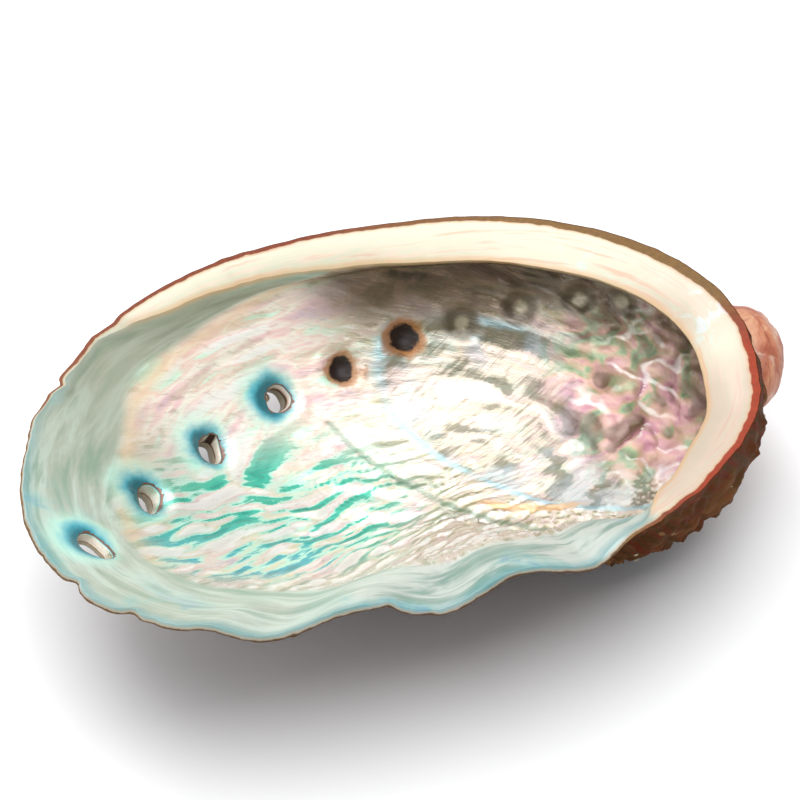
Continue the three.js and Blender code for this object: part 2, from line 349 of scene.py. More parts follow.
@dataclass
class Spot:
    """Places on the inner wall, in every system that its patterns follow.

    `base` and `normal` are the wall's, `way` the plan direction from the floor point, `age` and
    `cord` the growth coordinates, `near` the distance from each pore, `wander` a slow random
    field and `warp` a small one that bends the growth lines.
    """

    down: Array
    base: Array
    normal: Array
    way: Array
    bearing: Array
    width: Array
    age: Array
    cord: Array
    near: Array
    wander: Array
    warp: Array

    def plan_from(self, x: float, y: float) -> tuple[Array, Array]:
        """Plan distances from a point, along x and y."""
        return self.base[..., 0] - x, self.base[..., 1] - y


# ---------------------------------------------------------------- the shell's relief
# width in mm, by bearing, of the crust's edge that shows round the mouth
RIM_BORDER = {0: 2.6, 15: 3.0, 35: 2.0, 60: 1.3, 90: 1.1, 120: 1.2, 150: 0.9, 180: 0.6, 210: 0.3, 280: 0.35,
              300: 1.0, 330: 1.9, 352: 2.0}
# colour of that edge, by bearing: 0 dark brown, 0.33 olive brown, 0.66 red brown, 1 orange red
RIM_TONE = {0: 0.3, 45: 0.33, 70: 0.45, 100: 0.66, 150: 0.62, 180: 0.3, 220: 0.1, 280: 0.1, 295: 0.6,
            308: 1.0, 345: 1.0, 353: 0.6}
# share of the way down, by bearing, at which the satin band ends
SATIN_BORDER = {95: 0.0, 108: 0.12, 121: 0.18, 154: 0.22, 171: 0.28, 190: 0.27, 210: 0.38, 230: 0.36,
                249: 0.27, 270: 0.28, 285: 0.29, 300: 0.22, 312: 0.0}
# how ragged the edge is, by bearing, in mm
LOOSE_EDGE = {0: 0.1, 100: 0.15, 135: 0.35, 150: 0.6, 290: 0.5, 305: 0.15}
# what the finish reads inside the pores' holes
LINING = {"pore": 0.0, "edge": 30.0, "shelf": 0.0, "satin": 0.0, "pore_side": 0.0}


@dataclass(frozen=True)
class Relief:
    """Everything finer than the wall: ridges, pores, folds, ripples and roughness, in mm."""

    wall: Wall = WALL
    spire: tuple[float, float] = (50.0, -27.0)
    spire_height: float = 3.0
    spire_spread: float = 14.0
    # the growth's tip outside and inside, as shares round and down
    outer_tip: tuple[float, float] = (0.93, 0.66)
    inner_tip: tuple[float, float] = (0.949, 0.573)
    # slipper shell's seat and half lengths, as shares round and down
    slipper: tuple[float, float, float, float] = (0.006, 0.185, 0.031, 0.135)
    # seat of the muscle: middle, half lengths and turn in degrees
    muscle: tuple[float, float, float, float, float] = (53.1, 0.8, 22.5, 60.0, 42)
    # notches of the edge: place and depth
    notches: tuple[tuple[float, float, float], ...] = (
        (-62.5, 34.5, 1.6), (-77.6, -20.5, 1.8), (-70.8, -33.0, 1.5), (-45.0, 47.5, 0.5), (-24.0, -52.5, 0.9))
    pit_limit: float = 0.9

    def seats(self) -> Array:
        """Place of every pore on the wall."""
        return np.array([self.wall.surface(np.array(p.round), np.array(p.down)) for p in PORES])

    def pore_distance(self, points: Array) -> Array:
        """Distance of each point from each pore, one row per pore."""
        return np.stack([np.linalg.norm(points - seat, axis=-1) for seat in self.seats()])

    def ragged(self, round_: Array, down: Array) -> Array:
        """How far the edge is broken back towards the floor point: fine chips and a few notches."""
        rim, _, _, bearing = self.wall.ray(round_)
        chips = noise(rim / 2.6, 5, 2) * 0.9 + noise(rim / 7.0, 6) * 0.8
        broken = round_table(bearing, LOOSE_EDGE) * chips
        for x, y, depth in self.notches:
            broken = broken + depth * bell(np.hypot(rim[..., 0] - x, rim[..., 1] - y), 1.7)
        return broken * bell(down, 0.045)

    def coil(self, points: Array, down: Array) -> Array:
        """Low spire and the ridge that winds round it: a cosine of log distance less the angle."""
        dx, dy = points[..., 0] - self.spire[0], points[..., 1] - self.spire[1]
        plan = np.hypot(dx, dy) + 1e-6
        ridge = 0.9 * np.cos(np.log(plan / 4) / 0.32 - np.arctan2(dy, dx)) * ease(plan / 6)
        return ease((down - 0.12) / 0.2) * (self.spire_height * bell(plan, self.spire_spread)
                                            + ridge * bell(plan, 1.4 * self.spire_spread))

    def mounds(self, near: Array) -> Array:
        """Mound and ring of every pore, and the pit of a closed one."""
        rise = np.zeros(near.shape[1:])
        for pore, gap in zip(PORES, near):
            ring, pit = (0.9, 0.0) if pore.state is PoreState.OPEN else (0.4, 0.8)
            rise += pore.mound * bell(gap, 6.5) + ring * bell(gap - pore.spread * 1.15, 1.1)
            rise -= pit * bell(gap, 1.8)
        return rise

    def crust(self, points: Array, age: Array, cord: Array, far: Array) -> tuple[Array, Array]:
        """Height of the crust, and of its knobs alone.

        Knobs are where cosines of cord and age both crest, near the spire. Further out there are
        plain ribs and broad bands. Sharp growth steps, fine lines, grit and lumps are random fields.

        Args:
            points: places on the wall in mm.
            age: growth coordinate along the growth.
            cord: growth coordinate along the growth lines.
            far: distance from the spire's tip.

        Returns:
            Height and knobs.
        """
        warp = noise(columns_of(age, cord) * 4.0, 11, 2) * 0.05
        ribs = np.cos((cord + warp) * 44.0)
        beads = np.cos((age + warp * 0.7) * 40.0)
        by_spire = bell(far, 42.0)
        knobs = by_spire * ease(0.5 + 0.5 * ribs) * (0.5 + 0.5 * beads)
        broad = np.cos((age + warp * 2.0) * 26.0)
        step = ridged(columns_of((age + warp) * 11.0, cord * 1.2), 12, 3)
        lines = noise(columns_of(age * 90.0, cord * 9.0), 13, 2)
        rough = 0.9 * (step - 0.5) + 0.35 * noise(points / 1.9, 14, 3) + 0.6 * noise(points / 6.0, 15, 2)
        height = (1.7 * knobs + (0.5 * ribs + 0.45 * broad) * (1 - by_spire)
                  + rough * (1 - 0.5 * by_spire) + 0.25 * lines)
        return height, knobs

    def outside(self, round_: Array, down: Array) -> Skin:
        """Crusted outside: the wall raised along its normal by coil, mounds and crust.

        Args:
            round_: share round the rim, one row each.
            down: share down the wall, one column each.

        Returns:
            Points in mm with the values that the crust's finish reads.
        """
        wall = self.wall
        round_, down = np.broadcast_arrays(round_, down)
        points, normal = wall.surface(round_, down), wall.normal(round_, down)
        _, way, _, _ = wall.ray(round_[:, :1])
        age, cord, far = Growth.from_tip(wall, *self.outer_tip).at(wall.unrolled(round_[:, :1], down))
        near = self.pore_distance(points)
        crust, knobs = self.crust(points, age, cord, far)
        # hollows stay shallower than the thin lip
        crust = np.maximum(crust, -self.pit_limit * ease((down - 0.05) / 0.3))
        quiet = ease(down / 0.05) * 0.75 + 0.25
        a, b, along, across = self.slipper
        turn = (round_ - a + 0.5) % 1.0 - 0.5
        under_slipper = bell(np.hypot(turn / along, (down - b) / across), 1.25)
        rise = self.coil(points, down) + self.mounds(near) + crust * quiet * (1 - 0.85 * under_slipper)
        points = points + normal * (rise * ease(points[..., 2] / 5))[..., None]
        points[..., :2] -= way * self.ragged(round_, down)[..., None]
        points[..., 2] = np.maximum(points[..., 2], 0.0)
        return Skin(points, {"age": age, "cord": cord, "relief": crust, "knob": knobs, "down": down,
                             "pore": np.min(near, axis=0), "edge": np.full(down.shape, -1.0)})

    def spot(self, round_: Array, down: Array) -> Spot:
        """Places on the inner wall for shares round and down."""
        wall = self.wall
        _, way, _, bearing = wall.ray(round_[:, :1])
        age, cord, _ = Growth.from_tip(wall, *self.inner_tip).at(wall.unrolled(round_[:, :1], down))
        drift = columns_of(age, cord)
        return Spot(down, wall.surface(round_, down, worn=False), wall.normal(round_, down), way,
                    np.broadcast_to(bearing, down.shape), wall.station(bearing)[3], age, cord,
                    self.pore_distance(wall.surface(round_, down)),
                    noise(drift * np.array([3.0, 9.0]), 21, 3), noise(drift * 5.0, 22, 3) * 0.07)

    def muscle_seat(self, s: Spot) -> Array:
        """Distance in mm inside the edge of the muscle's seat, an oval turned in the plan."""
        x, y, half_short, half_long, lean = self.muscle
        dx, dy = s.plan_from(x, y)
        lean = np.radians(lean)
        oval = np.hypot((dx * np.cos(lean) + dy * np.sin(lean)) / half_short,
                        (dy * np.cos(lean) - dx * np.sin(lean)) / half_long)
        return (1 - oval) * half_short

    def zones(self, s: Spot) -> dict[str, Array]:
        """Where the nacre is cool, warm, satin, crumpled, in painted shade under the shelf and so on, each
        0..1.
        """
        border = round_table(s.bearing, SATIN_BORDER)
        seat = self.muscle_seat(s)
        scar = ease(seat / 3.0)
        dx, dy = s.plan_from(-27, 4)
        cool = bell(np.hypot(dx * 0.97 + dy * 0.24, (dy * 0.97 - dx * 0.24) * 1.7), 36.0)
        dx, dy = s.plan_from(-22, 40)
        warm = bell(np.hypot(dx, dy * 1.5), 34.0)
        dx, dy = s.plan_from(70.0, 4.0)
        end = bell(np.hypot(dx, dy * 0.8), 23.0) * ease((s.down - 0.1) / 0.1)
        under = ease(np.broadcast_to(s.width, s.down.shape) / 5.0)
        far_wall = np.minimum(ease((108.0 - s.bearing) / 28.0) + ease((s.bearing - 318.0) / 25.0), 1.0)
        shaded = under * far_wall * (1 - 0.65 * bell(turned_from(s.bearing, 8.0), 22.0))
        far_end = np.maximum(ease((30.0 - np.minimum(s.bearing, 360.0 - s.bearing)) / 40.0),
                             between(s.bearing, 290.0, 12.0, 355.0, 20.0))
        glint = np.maximum(bell(turned_from(s.bearing, -3.0), 7.0), 0.55 * bell(s.bearing - 24.0, 12.0))
        return {
            "scar": scar, "end": end, "under": under, "far_end": far_end, "glint": glint,
            "satin": ease((border + 0.03 * s.wander - s.down) / 0.05 + 0.5),
            "cool": ease(cool * 1.9 - 0.15) * (1 - scar), "warm": ease(1.5 * warm - 0.1),
            # painted shade on the far wall under the shelf, and a deeper painted shade close under it
            "gloom": shaded * ease((0.48 + 0.08 * s.wander - s.down) / 0.20),
            "dusk": shaded * ease((0.38 + 0.06 * s.wander - s.down) / 0.14),
            "seam": bell(s.down - border - 0.025, 0.03) * between(s.bearing, 100, 12, 200, 25),
            "near_side": between(s.bearing, 205, 40, 320, 25), "north": between(s.bearing, 95, 15, 185, 45),
            "arc": np.abs(seat - 1.5), "outer_arc": np.abs(seat + 8.0) + 20 * (s.base[..., 1] > 32)}

    def guides(self, s: Spot) -> dict[str, Array]:
        """Coordinates and distances that the nacre's finish draws with."""
        x, y = s.plan_from(0.0, 0.0)
        past = x - 12.7
        streak = bell(y - (6.9 - 1.2 * past + 0.0155 * past**2), 2.2)
        count = len(OPEN_PORES)
        seats = self.seats()[:count][np.argmin(s.near[:count], axis=0)]
        off_x, off_y = x - seats[..., 0], y - seats[..., 1]
        return {
            "age": s.age, "cord": s.cord, "down": s.down, "brink": 66.0 * s.down,
            "pore": np.min(s.near[:count], axis=0), "blind": np.min(s.near[count:6], axis=0),
            "healed": np.min(s.near[6:], axis=0),
            "pore_side": (0.35 * off_y - 0.94 * off_x) / (np.hypot(off_x, off_y) + 0.5),
            "gold": streak * between(past, 0, 12, 35, 12), "depth": ease(0.5 - y / 26.0) * ease(-x / 30.0),
            "grain_a": x * 0.966 + y * 0.259, "grain_c": y * 0.966 - x * 0.259,
            "way_x": np.broadcast_to(s.way[..., 0], x.shape),
            "way_y": np.broadcast_to(s.way[..., 1], x.shape),
            "tone": round_table(s.bearing, RIM_TONE), "border": round_table(s.bearing, RIM_BORDER),
            "edge": np.full(x.shape, 30.0), "shelf": np.zeros(x.shape)}

    def ripples(self, s: Spot, zone: dict[str, Array]) -> dict[str, Array]:
        """Relief of the nacre and its slope, which the colours follow.

        Each zone has its own random field: long streaks on the growth lines, rings in the warm
        part, folds round a point in the muscle's scar, sharp crests in the crumpled end and slow
        folds in the satin band.

        Args:
            s: places on the wall.
            zone: the zones there.

        Returns:
            The relief, the slope and the height of the crests.
        """
        age, cord = s.age + s.warp, s.cord + s.warp
        streak_at = columns_of(age * 8.0, (s.cord + s.warp * 0.6) * 30.0)
        streaks, slope = height_and_slope(streak_at, (0.0, 0.22), 31, 3.8)
        ripple = np.sin(cord * 95.0 + 5.0 * noise(streak_at * 0.6, 24, 2))
        fine = noise(columns_of(age * 26.0, cord * 60.0), 25, 2)
        fan = np.sin((s.cord + 0.5 * s.warp) * 150.0 + 2.5 * noise(columns_of(s.age, s.cord) * 9.0, 26, 2))
        dx, dy = s.plan_from(19.0, 3.0)
        folds_at = columns_of(np.hypot(dx, dy) / 5.0 + 0.8 * s.wander, np.arctan2(dy, dx) * 1.6)
        folds, folds_slope = height_and_slope(folds_at, (0.25, 0.0), 29, 3.0)
        rings_at = columns_of(s.way[..., 0] * 2.2, s.way[..., 1] * 2.2, s.down * 13.0 + 0.5 * s.wander)
        rings, rings_slope = height_and_slope(rings_at, (0.0, 0.0, 0.25), 30, 3.0)
        crests = ridged(s.base * np.array([1.0, 0.8, 1.2]) / 6.0, 27, 2)
        slow = noise(columns_of(s.age * 3.0, s.cord * 12.0), 28, 2)
        scar, satin, whole = zone["scar"], zone["satin"], 1 - zone["scar"]
        plain, warm = whole * (1 - zone["warm"]), whole * zone["warm"]
        seat_edge = bell(self.muscle_seat(s) - 1.5, 1.2)
        lift = ((0.75 * streaks + 0.08 * ripple) * plain + 0.10 * fine + warm * 0.6 * rings
                + scar * (0.06 * fan + 0.8 * folds + 0.25 * seat_edge))
        lift = lift * (1 - satin) * ease((s.down - 0.12) / 0.1)
        lift = lift + zone["end"] * 1.7 * (crests - 0.55) + satin * 0.35 * slow * ease(s.down / 0.08)
        slopes = slope * plain + rings_slope * warm + folds_slope * scar
        return {"relief": lift, "crinkle": crests, "slope": slopes}

    def inside(self, round_: Array, down: Array) -> Skin:
        """Nacre side: the wall set in by its thickness, with shelf, dimples and ripples.

        Args:
            round_: share round the rim, one row each.
            down: share down the wall, one column each.

        Returns:
            Points in mm with the values that the nacre's finish reads.
        """
        wall = self.wall
        round_, down = np.broadcast_arrays(round_, down)
        s = self.spot(round_, down)
        zone = self.zones(s)
        ripples = self.ripples(s, zone)
        sink = np.zeros(down.shape)
        for pore, gap in zip(PORES, s.near):
            sink += pore.dimple * bell(gap, pore.spread) - 0.35 * bell(gap - 1.6 * pore.spread, 1.6)
        thick = wall.lip + (wall.body - wall.lip) * ease(down / wall.thick_from)
        shelf = 1 - ease(down / wall.shelf_share)
        points = s.base + s.normal * (sink - thick - ripples["relief"])[..., None]
        points[..., :2] -= s.way * (s.width * shelf + self.ragged(round_, down))[..., None]
        points[..., 2] -= wall.station(s.bearing)[4] * shelf
        return Skin(points, {**zone, **self.guides(s), **ripples})

    def band(self, round_: Array, across: Array) -> Skin:
        """Across the rim, from the crust's edge to the edge of the shelf, a little domed."""
        outer = self.outside(round_, np.zeros((1, 1)))
        inner = self.inside(round_, np.zeros((1, 1)))
        width = np.linalg.norm(inner.points - outer.points, axis=-1)
        points = outer.points * (1 - across[..., None]) + inner.points * across[..., None]
        points[..., 2] += 0.08 * width * np.sin(np.pi * across) * ease(width / 4)
        return Skin(points, {**inner.values, "edge": width * across, "brink": width * (1 - across),
                             "shelf": ease((width - 1.5) / 3.0)})


# ---------------------------------------------------------------- putting surfaces into Blender
def closed_faces(rows: int, columns: int, start: int = 0) -> list[list[int]]:
    """Faces of a closed surface: a first point, rows of rings, a last point, all facing out.

    Args:
        rows: how many rings.
        columns: points in each ring.
        start: number of the first point.

    Returns:
        Triangles round both ends and quads between the rings.
    """
    k = np.arange(columns)
    after = (k + 1) % columns
    ring = 1 + np.arange(rows - 1)[:, None] * columns
    quads = np.stack([ring + k, ring + after, ring + columns + after, ring + columns + k], -1)
    quads = quads.reshape(-1, 4)
    last_ring = 1 + (rows - 1) * columns
    first = np.stack([np.zeros_like(k), 1 + after, 1 + k], -1)
    last = np.stack([last_ring + k, last_ring + after, np.full_like(k, rows * columns + 1)], -1)
    return (first + start).tolist() + (quads + start).tolist() + (last + start).tolist()


def in_rings(first: Array, stretches: list[Array], last: Array) -> Array:
    """One row per point: the first end, the rings of every stretch one after another, the last end.

    Args:
        first: numbers of the first end point.
        stretches: arrays of columns by rows by numbers.
        last: numbers of the last end point.

    Returns:
        Rows in the order that closed_faces counts.
    """
    rings = np.concatenate([np.moveaxis(stretch, 0, 1) for stretch in stretches])
    return np.concatenate([first.reshape(1, -1), rings.reshape(-1, rings.shape[-1]), last.reshape(1, -1)])


def joined(stacks: list[Array]) -> tuple[Array, list[list[int]]]:
    """Closed surfaces joined in one.

    Args:
        stacks: for each surface its rings, by points, by 3. Its ends close on the middle of a ring.

    Returns:
        All points and all faces.
    """
    points, faces, start = [], [], 0
    for stack in stacks:
        points += [stack[0].mean(0)[None], stack.reshape(-1, 3), stack[-1].mean(0)[None]]
        faces += closed_faces(*stack.shape[:2], start)
        start += stack.shape[0] * stack.shape[1] + 2
    return np.concatenate(points), faces


def put_mesh(name: str, points: Array, faces: list[list[int]]) -> bpy.types.Object:
    """New smooth-shaded object at the origin from points in metres and faces."""
    mesh = bpy.data.meshes.new(name)
    mesh.from_pydata(points.tolist(), [], faces)
    mesh.polygons.foreach_set("use_smooth", np.ones(len(mesh.polygons), bool))
    mesh.update()
    made = bpy.data.objects.new(name, mesh)
    bpy.context.scene.collection.objects.link(made)
    return made


def put_values(mesh: bpy.types.Mesh, values: dict[str, Array]) -> None:
    """Stores each value as a number on every point of the mesh."""
    for name, value in values.items():
        layer = mesh.attributes.new(name, "FLOAT", "POINT")
        layer.data.foreach_set("value", value.astype(np.float32).ravel())


def read_values(mesh: bpy.types.Mesh, name: str) -> Array:
    """Numbers stored on the mesh's points under a name."""
    out = np.zeros(len(mesh.vertices), np.float32)
    mesh.attributes[name].data.foreach_get("value", out)
    return out


def points_of(mesh: bpy.types.Mesh) -> Array:
    """The mesh's points, three numbers to a row."""
    out = np.zeros(len(mesh.vertices) * 3)
    mesh.vertices.foreach_get("co", out)
    return out.reshape(-1, 3)


@dataclass(frozen=True)
class Place:
    """Moves the form's millimetres to the frame's metres, so that its box lies on the CAD box."""

    target: tuple[float, float, float]

    @staticmethod
    def onto(node: str, wall: Wall) -> "Place":
        """Place that lays the unrelieved wall's box on a CAD node's box.

        Args:
            node: name of the CAD node.
            wall: the form it was built from.

        Returns:
            The place.
        """
        grid = wall.surface(np.linspace(0, 1, 721)[:, None], np.linspace(0, 1, 61)[None, :]).reshape(-1, 3)
        lo, hi = (np.array(corner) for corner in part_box(node))
        low, high = grid.min(0), grid.max(0)
        middle_gap = (lo + hi) / 2 - (low + high) / 2 * MM
        return Place((middle_gap[0], middle_gap[1], lo[2] - low[2] * MM))

    def put(self, points: Array) -> Array:
        """Points in the frame, in metres."""
        return points * MM + np.array(self.target)


# ---------------------------------------------------------------- shader workbench
# a screen colour is six hex digits; a ramp is a row of positions and colours
Colour = str
Ramp = tuple[tuple[float, Colour], ...]
Pair = tuple[Colour, Colour]


def linear(colour: Colour) -> tuple[float, ...]:
    """Linear red, green, blue and full alpha of a screen colour."""
    shares = (int(colour[k:k + 2], 16) / 255.0 for k in (0, 2, 4))
    return (*(v / 12.92 if v <= 0.04045 else ((v + 0.055) / 1.055) ** 2.4 for v in shares), 1.0)


class Wire:
    """A number socket that can be reckoned with: each operation adds its Math node."""

    def __init__(self, bench: "Bench", socket: bpy.types.NodeSocket) -> None:
        """Holds the socket and the bench whose tree it is in."""
        self.bench, self.socket = bench, socket

    def math(self, operation: str, first: "Wire | float", second: "Wire | float") -> "Wire":
        """Two numbers through one Math node."""
        return self.bench.add("ShaderNodeMath", {"operation": operation}, {0: first, 1: second})

    def __add__(self, other: "Wire | float") -> "Wire":
        """Sum."""
        return self.math("ADD", self, other)

    def __sub__(self, other: "Wire | float") -> "Wire":
        """Difference."""
        return self.math("SUBTRACT", self, other)

    def __rsub__(self, other: float) -> "Wire":
        """Difference from a number."""
        return self.math("SUBTRACT", other, self)

    def __mul__(self, other: "Wire | float") -> "Wire":
        """Product."""
        return self.math("MULTIPLY", self, other)

    def __truediv__(self, other: "Wire | float") -> "Wire":
        """Quotient."""
        return self.math("DIVIDE", self, other)

    __radd__, __rmul__ = __add__, __mul__

    def clamp(self) -> "Wire":
        """Held between 0 and 1."""
        return self.bench.add("ShaderNodeClamp", {}, {"Value": self})

    def step(self, low: float, high: float) -> "Wire":
        """Smooth step from 0 at low to 1 at high; low may be the larger."""
        if low > high:
            return 1.0 - self.step(high, low)
        return self.bench.add("ShaderNodeMapRange", {"interpolation_type": "SMOOTHSTEP"},
                              {"Value": self, "From Min": low, "From Max": high})


class Bench:
    """One material's node tree."""

    def __init__(self, name: str) -> None:
        """New material with an empty tree and an output."""
        self.material = bpy.data.materials.new(name)
        self.material.use_nodes = True
        self.tree = self.material.node_tree
        self.tree.nodes.clear()
        self.output = self.tree.nodes.new("ShaderNodeOutputMaterial")

    def add(self, kind: str, settings: dict[str, object], inputs: dict[int | str, object],
            out: int | str = 0) -> Wire:
        """Adds one node.

        Args:
            kind: the node's type.
            settings: properties set first; `stops` gives a ramp's positions and colours.
            inputs: socket name or number to a value, a colour or a Wire.
            out: which output is returned.

        Returns:
            The chosen output.
        """
        node = self.tree.nodes.new(kind)
        for key, value in settings.items():
            if key != "stops":
                setattr(node, key, value)
                continue
            while len(node.color_ramp.elements) < len(value):
                node.color_ramp.elements.new(0.5)
            for element, (position, colour) in zip(node.color_ramp.elements, value):
                element.position, element.color = position, linear(colour)
        for key, value in inputs.items():
            if isinstance(value, Wire):
                self.tree.links.new(value.socket, node.inputs[key])
            else:
                node.inputs[key].default_value = linear(value) if isinstance(value, str) else value
        return Wire(self, node.outputs[out])

    def __getitem__(self, name: str) -> Wire:
        """A number stored on the surface."""
        return self.add("ShaderNodeAttribute", {"attribute_name": name}, {}, out="Fac")

    def place(self) -> Wire:
        """Object coordinates."""
        return self.add("ShaderNodeTexCoord", {}, {}, out="Object")

    def vector(self, x: "Wire | float", y: "Wire | float", z: "Wire | float" = 0.0) -> Wire:
        """Vector from three numbers."""
        return self.add("ShaderNodeCombineXYZ", {}, {0: x, 1: y, 2: z})

    def round_vector(self, turns: float, along: Wire) -> Wire:
        """Vector from the plan direction times the turns, and a number that runs across it."""
        return self.vector(self["way_x"] * turns, self["way_y"] * turns, along)

    def noise(self, vector: Wire, scale: float, detail: float = 2.0, rough: float = 0.5,
              twist: float = 0.0) -> Wire:
        """Noise 0..1 over a vector."""
        return self.add("ShaderNodeTexNoise", {"noise_dimensions": "3D"}, {
            "Vector": vector, "Scale": scale, "Detail": detail, "Roughness": rough, "Distortion": twist})

    def cells(self, vector: Wire, scale: float) -> Wire:
        """Distance to scattered points."""
        return self.add("ShaderNodeTexVoronoi", {"feature": "F1"}, {"Vector": vector, "Scale": scale})

    def mix(self, factor: "Wire | float", a: "Wire | Colour", b: "Wire | Colour", blend: str = "MIX") -> Wire:
        """Colour a going to colour b."""
        return self.add("ShaderNodeMix", {"data_type": "RGBA", "blend_type": blend, "clamp_factor": True},
                        {0: factor, 6: a, 7: b}, out=2)

    def ramp(self, factor: Wire, stops: Ramp) -> Wire:
        """Colour read off a ramp."""
        return self.add("ShaderNodeValToRGB", {"stops": stops}, {0: factor})

    def bump(self, height: Wire, distance: float, strength: float, under: Wire | None = None) -> Wire:
        """Normal bent by a height given in units of the distance, metres."""
        inputs = {"Height": height, "Distance": distance, "Strength": strength}
        if under is not None:
            inputs["Normal"] = under
        return self.add("ShaderNodeBump", {}, inputs, out="Normal")

    def surface(self, inputs: dict[str, object]) -> bpy.types.Material:
        """Closes the tree with a Principled shader and returns the material."""
        shader = self.add("ShaderNodeBsdfPrincipled", {}, inputs, out="BSDF")
        self.tree.links.new(shader.socket, self.output.inputs["Surface"])
        return self.material


# ---------------------------------------------------------------- finishes
@dataclass(frozen=True)
class NacreFinish:
    """Mother of pearl with its satin band, shelf, rim edge, scar, stains and pores."""

    pearl: Colour = "e6dece"
    mint: Colour = "c0f6e2"
    azure: Colour = "3aaabe"
    # teal and deep go on the ripples' sides that slope away from the light: the nacre's own streak colours,
    # partly painted shade
    teal: Colour = "3ebea2"
    deep: Colour = "1a8074"
    # painted highlight: near white on the ripples' sides that slope towards the light and on the crests of
    # the crumpled end
    light: Colour = "fefcf6"
    clay: Colour = "c0a89c"
    drab: Colour = "968a74"
    # olive for the ripples' sides that slope away from the light outside the cool part: partly the nacre's
    # own colour, partly painted shade
    shaded_olive: Pair = ("8c885c", "5c5e46")
    drift: Ramp = ((0.30, "cec0d4"), (0.40, "f6d0ca"), (0.47, "e6dece"),
                   (0.54, "ece0b4"), (0.61, "c0f6e2"), (0.70, "e6dece"))
    growth: Ramp = ((0.30, "deb2c8"), (0.40, "fad0cc"), (0.48, "fff6e6"),
                    (0.55, "fcd6c8"), (0.62, "e2fce4"), (0.72, "b8e8ce"))
    # the muscle's scar, with the painted highlight on its ripples
    scar_highlight: Colour = "eeeae0"
    scar_blue: Colour = "a8becc"
    inner_line: Colour = "98c8d6"
    outer_line: Colour = "588064"
    gold: Colour = "e8b880"
    # crumpled end with painted shade in its creases, and the painted shade on the wall under the shelf, in
    # its own olive and mauve tints
    vivid: Ramp = ((0.26, "705438"), (0.35, "ce84a8"), (0.43, "eebcba"),
                   (0.50, "debaa0"), (0.56, "96c292"), (0.62, "589e7c"),
                   (0.68, "8e6c54"), (0.76, "d6929c"))
    # painted shade for the creases of the crumpled end
    crease_shade: Colour = "3e3a2a"
    rust: Colour = "96684a"
    shade: Ramp = ((0.30, "786842"), (0.42, "a68e7a"), (0.50, "baa092"),
                   (0.57, "a88086"), (0.64, "84526e"), (0.72, "8c8860"))
    spire_shade: Colour = "564622"
    dusk: Pair = ("4e4022", "6e543e")
    # satin band
    seam: Colour = "f0d0a8"
    clouds: Ramp = ((0.32, "92aa96"), (0.46, "b4bcac"), (0.56, "c4d2c4"),
                    (0.68, "92aa96"))
    north: Pair = ("787e62", "b0aa92")
    # near side of the satin band: its own green, with the darker green partly painted shade
    near: Pair = ("68928a", "ccd0ca")
    tint: Pair = ("92c4bc", "74a6ba")
    margin: Colour = "5c9ca2"
    # shelf
    streaks: Ramp = ((0.32, "d6b296"), (0.44, "e0ceb8"), (0.52, "ceceb4"),
                     (0.60, "e0ceb8"), (0.70, "ceb69c"))
    far_shelf: Colour = "b69e8e"
    glint: Pair = ("b0e0ce", "ced2e8")
    # pores: dark side of the halo, lining, stain, painted shade deep in the pit of a closed pore, and ring
    # and middle of the healed ones
    halo: Colour = "105c68"
    lining: Colour = "84523a"
    stain: Colour = "aa6824"
    pit: Colour = "22140e"
    healed: Pair = ("524630", "b8ac92")
    # rim
    thin_edge: Colour = "cea068"
    tones: Ramp = ((0.0, "3e281c"), (0.33, "805e32"), (0.66, "843e26"),
                   (1.0, "9c381a"))
    grit: Colour = "281a12"
    rim_line: Colour = "c49668"

    def wisps(self, b: Bench) -> Wire:
        """Fine streaks along the growth lines, 0..1."""
        return b.noise(b.vector(b["age"] * 24.0, b["cord"] * 110.0), 1.0, 4.0, 0.6, 0.6)

    def bright(self, b: Bench) -> Wire:
        """Bright nacre: pastel drift, with a painted highlight where its ripples slope one way and its own
        teal, green and olive streaks, partly painted shade, where they slope the other.
        """
        cool, warm, scar = b["cool"], b["warm"], b["scar"]
        slow = b.noise(b.vector(b["age"] * 4.0, b["cord"] * 13.0), 0.9, 3.0, 0.55, 0.6)
        colour = b.mix(0.35, b.ramp(slow, self.drift), self.pearl)
        rings = b.noise(b.round_vector(3.0, b["down"] * 16.0), 1.0, 3.0)
        colour = b.mix(warm * (1.0 - scar) * 0.9, colour, b.ramp(rings, self.growth))
        hatch = b.noise(b.vector(b["grain_a"] * 0.16, b["grain_c"] * 1.1), 1.0, 3.0, 0.55, 0.5) - 0.5
        wisps = (self.wisps(b) - 0.5) * (1.0 - scar) + hatch * scar * 1.2
        slope = b["slope"] + wisps * (0.9 + scar * 0.4)
        lines = (slope + wisps * 0.5).step(0.12, 0.42) * cool
        # from here the ripples' slope stands in for the light: on sides sloping away from it the teal, green
        # and olive streaks, partly painted shade; on sides sloping towards it a painted highlight
        colour = b.mix(slope.step(-0.25, 0.2) * (cool * 0.9 + 0.05), colour, self.mint)
        colour = b.mix(lines * 0.95, colour, b.mix(b["depth"], self.teal, self.azure))
        colour = b.mix(slope.step(0.6, 1.0) * cool * 0.5, colour, self.deep)
        colour = b.mix((1.0 - cool) * (1.0 - warm) * 0.55, colour, self.clay)
        shaded_olive = slope.step(0.06, 0.60) * (1.0 - cool) * (1.0 - warm * 0.6)
        colour = b.mix(shaded_olive * 0.8, colour, b.mix(scar, *self.shaded_olive))
        colour = b.mix(wisps.step(0.04, 0.22) * (0.35 + scar * 0.3), colour, self.drab)
        # painted highlight on the sides of the ripples that slope towards the light
        colour = b.mix(slope.step(-0.22, -0.75) * 0.8, colour, b.mix(scar, self.light, self.scar_highlight))
        blue = b.noise(b.place(), 75.0, 3.0).step(0.50, 0.64)
        return self.lines(b, b.mix(scar * blue * 0.45, colour, self.scar_blue), wisps)

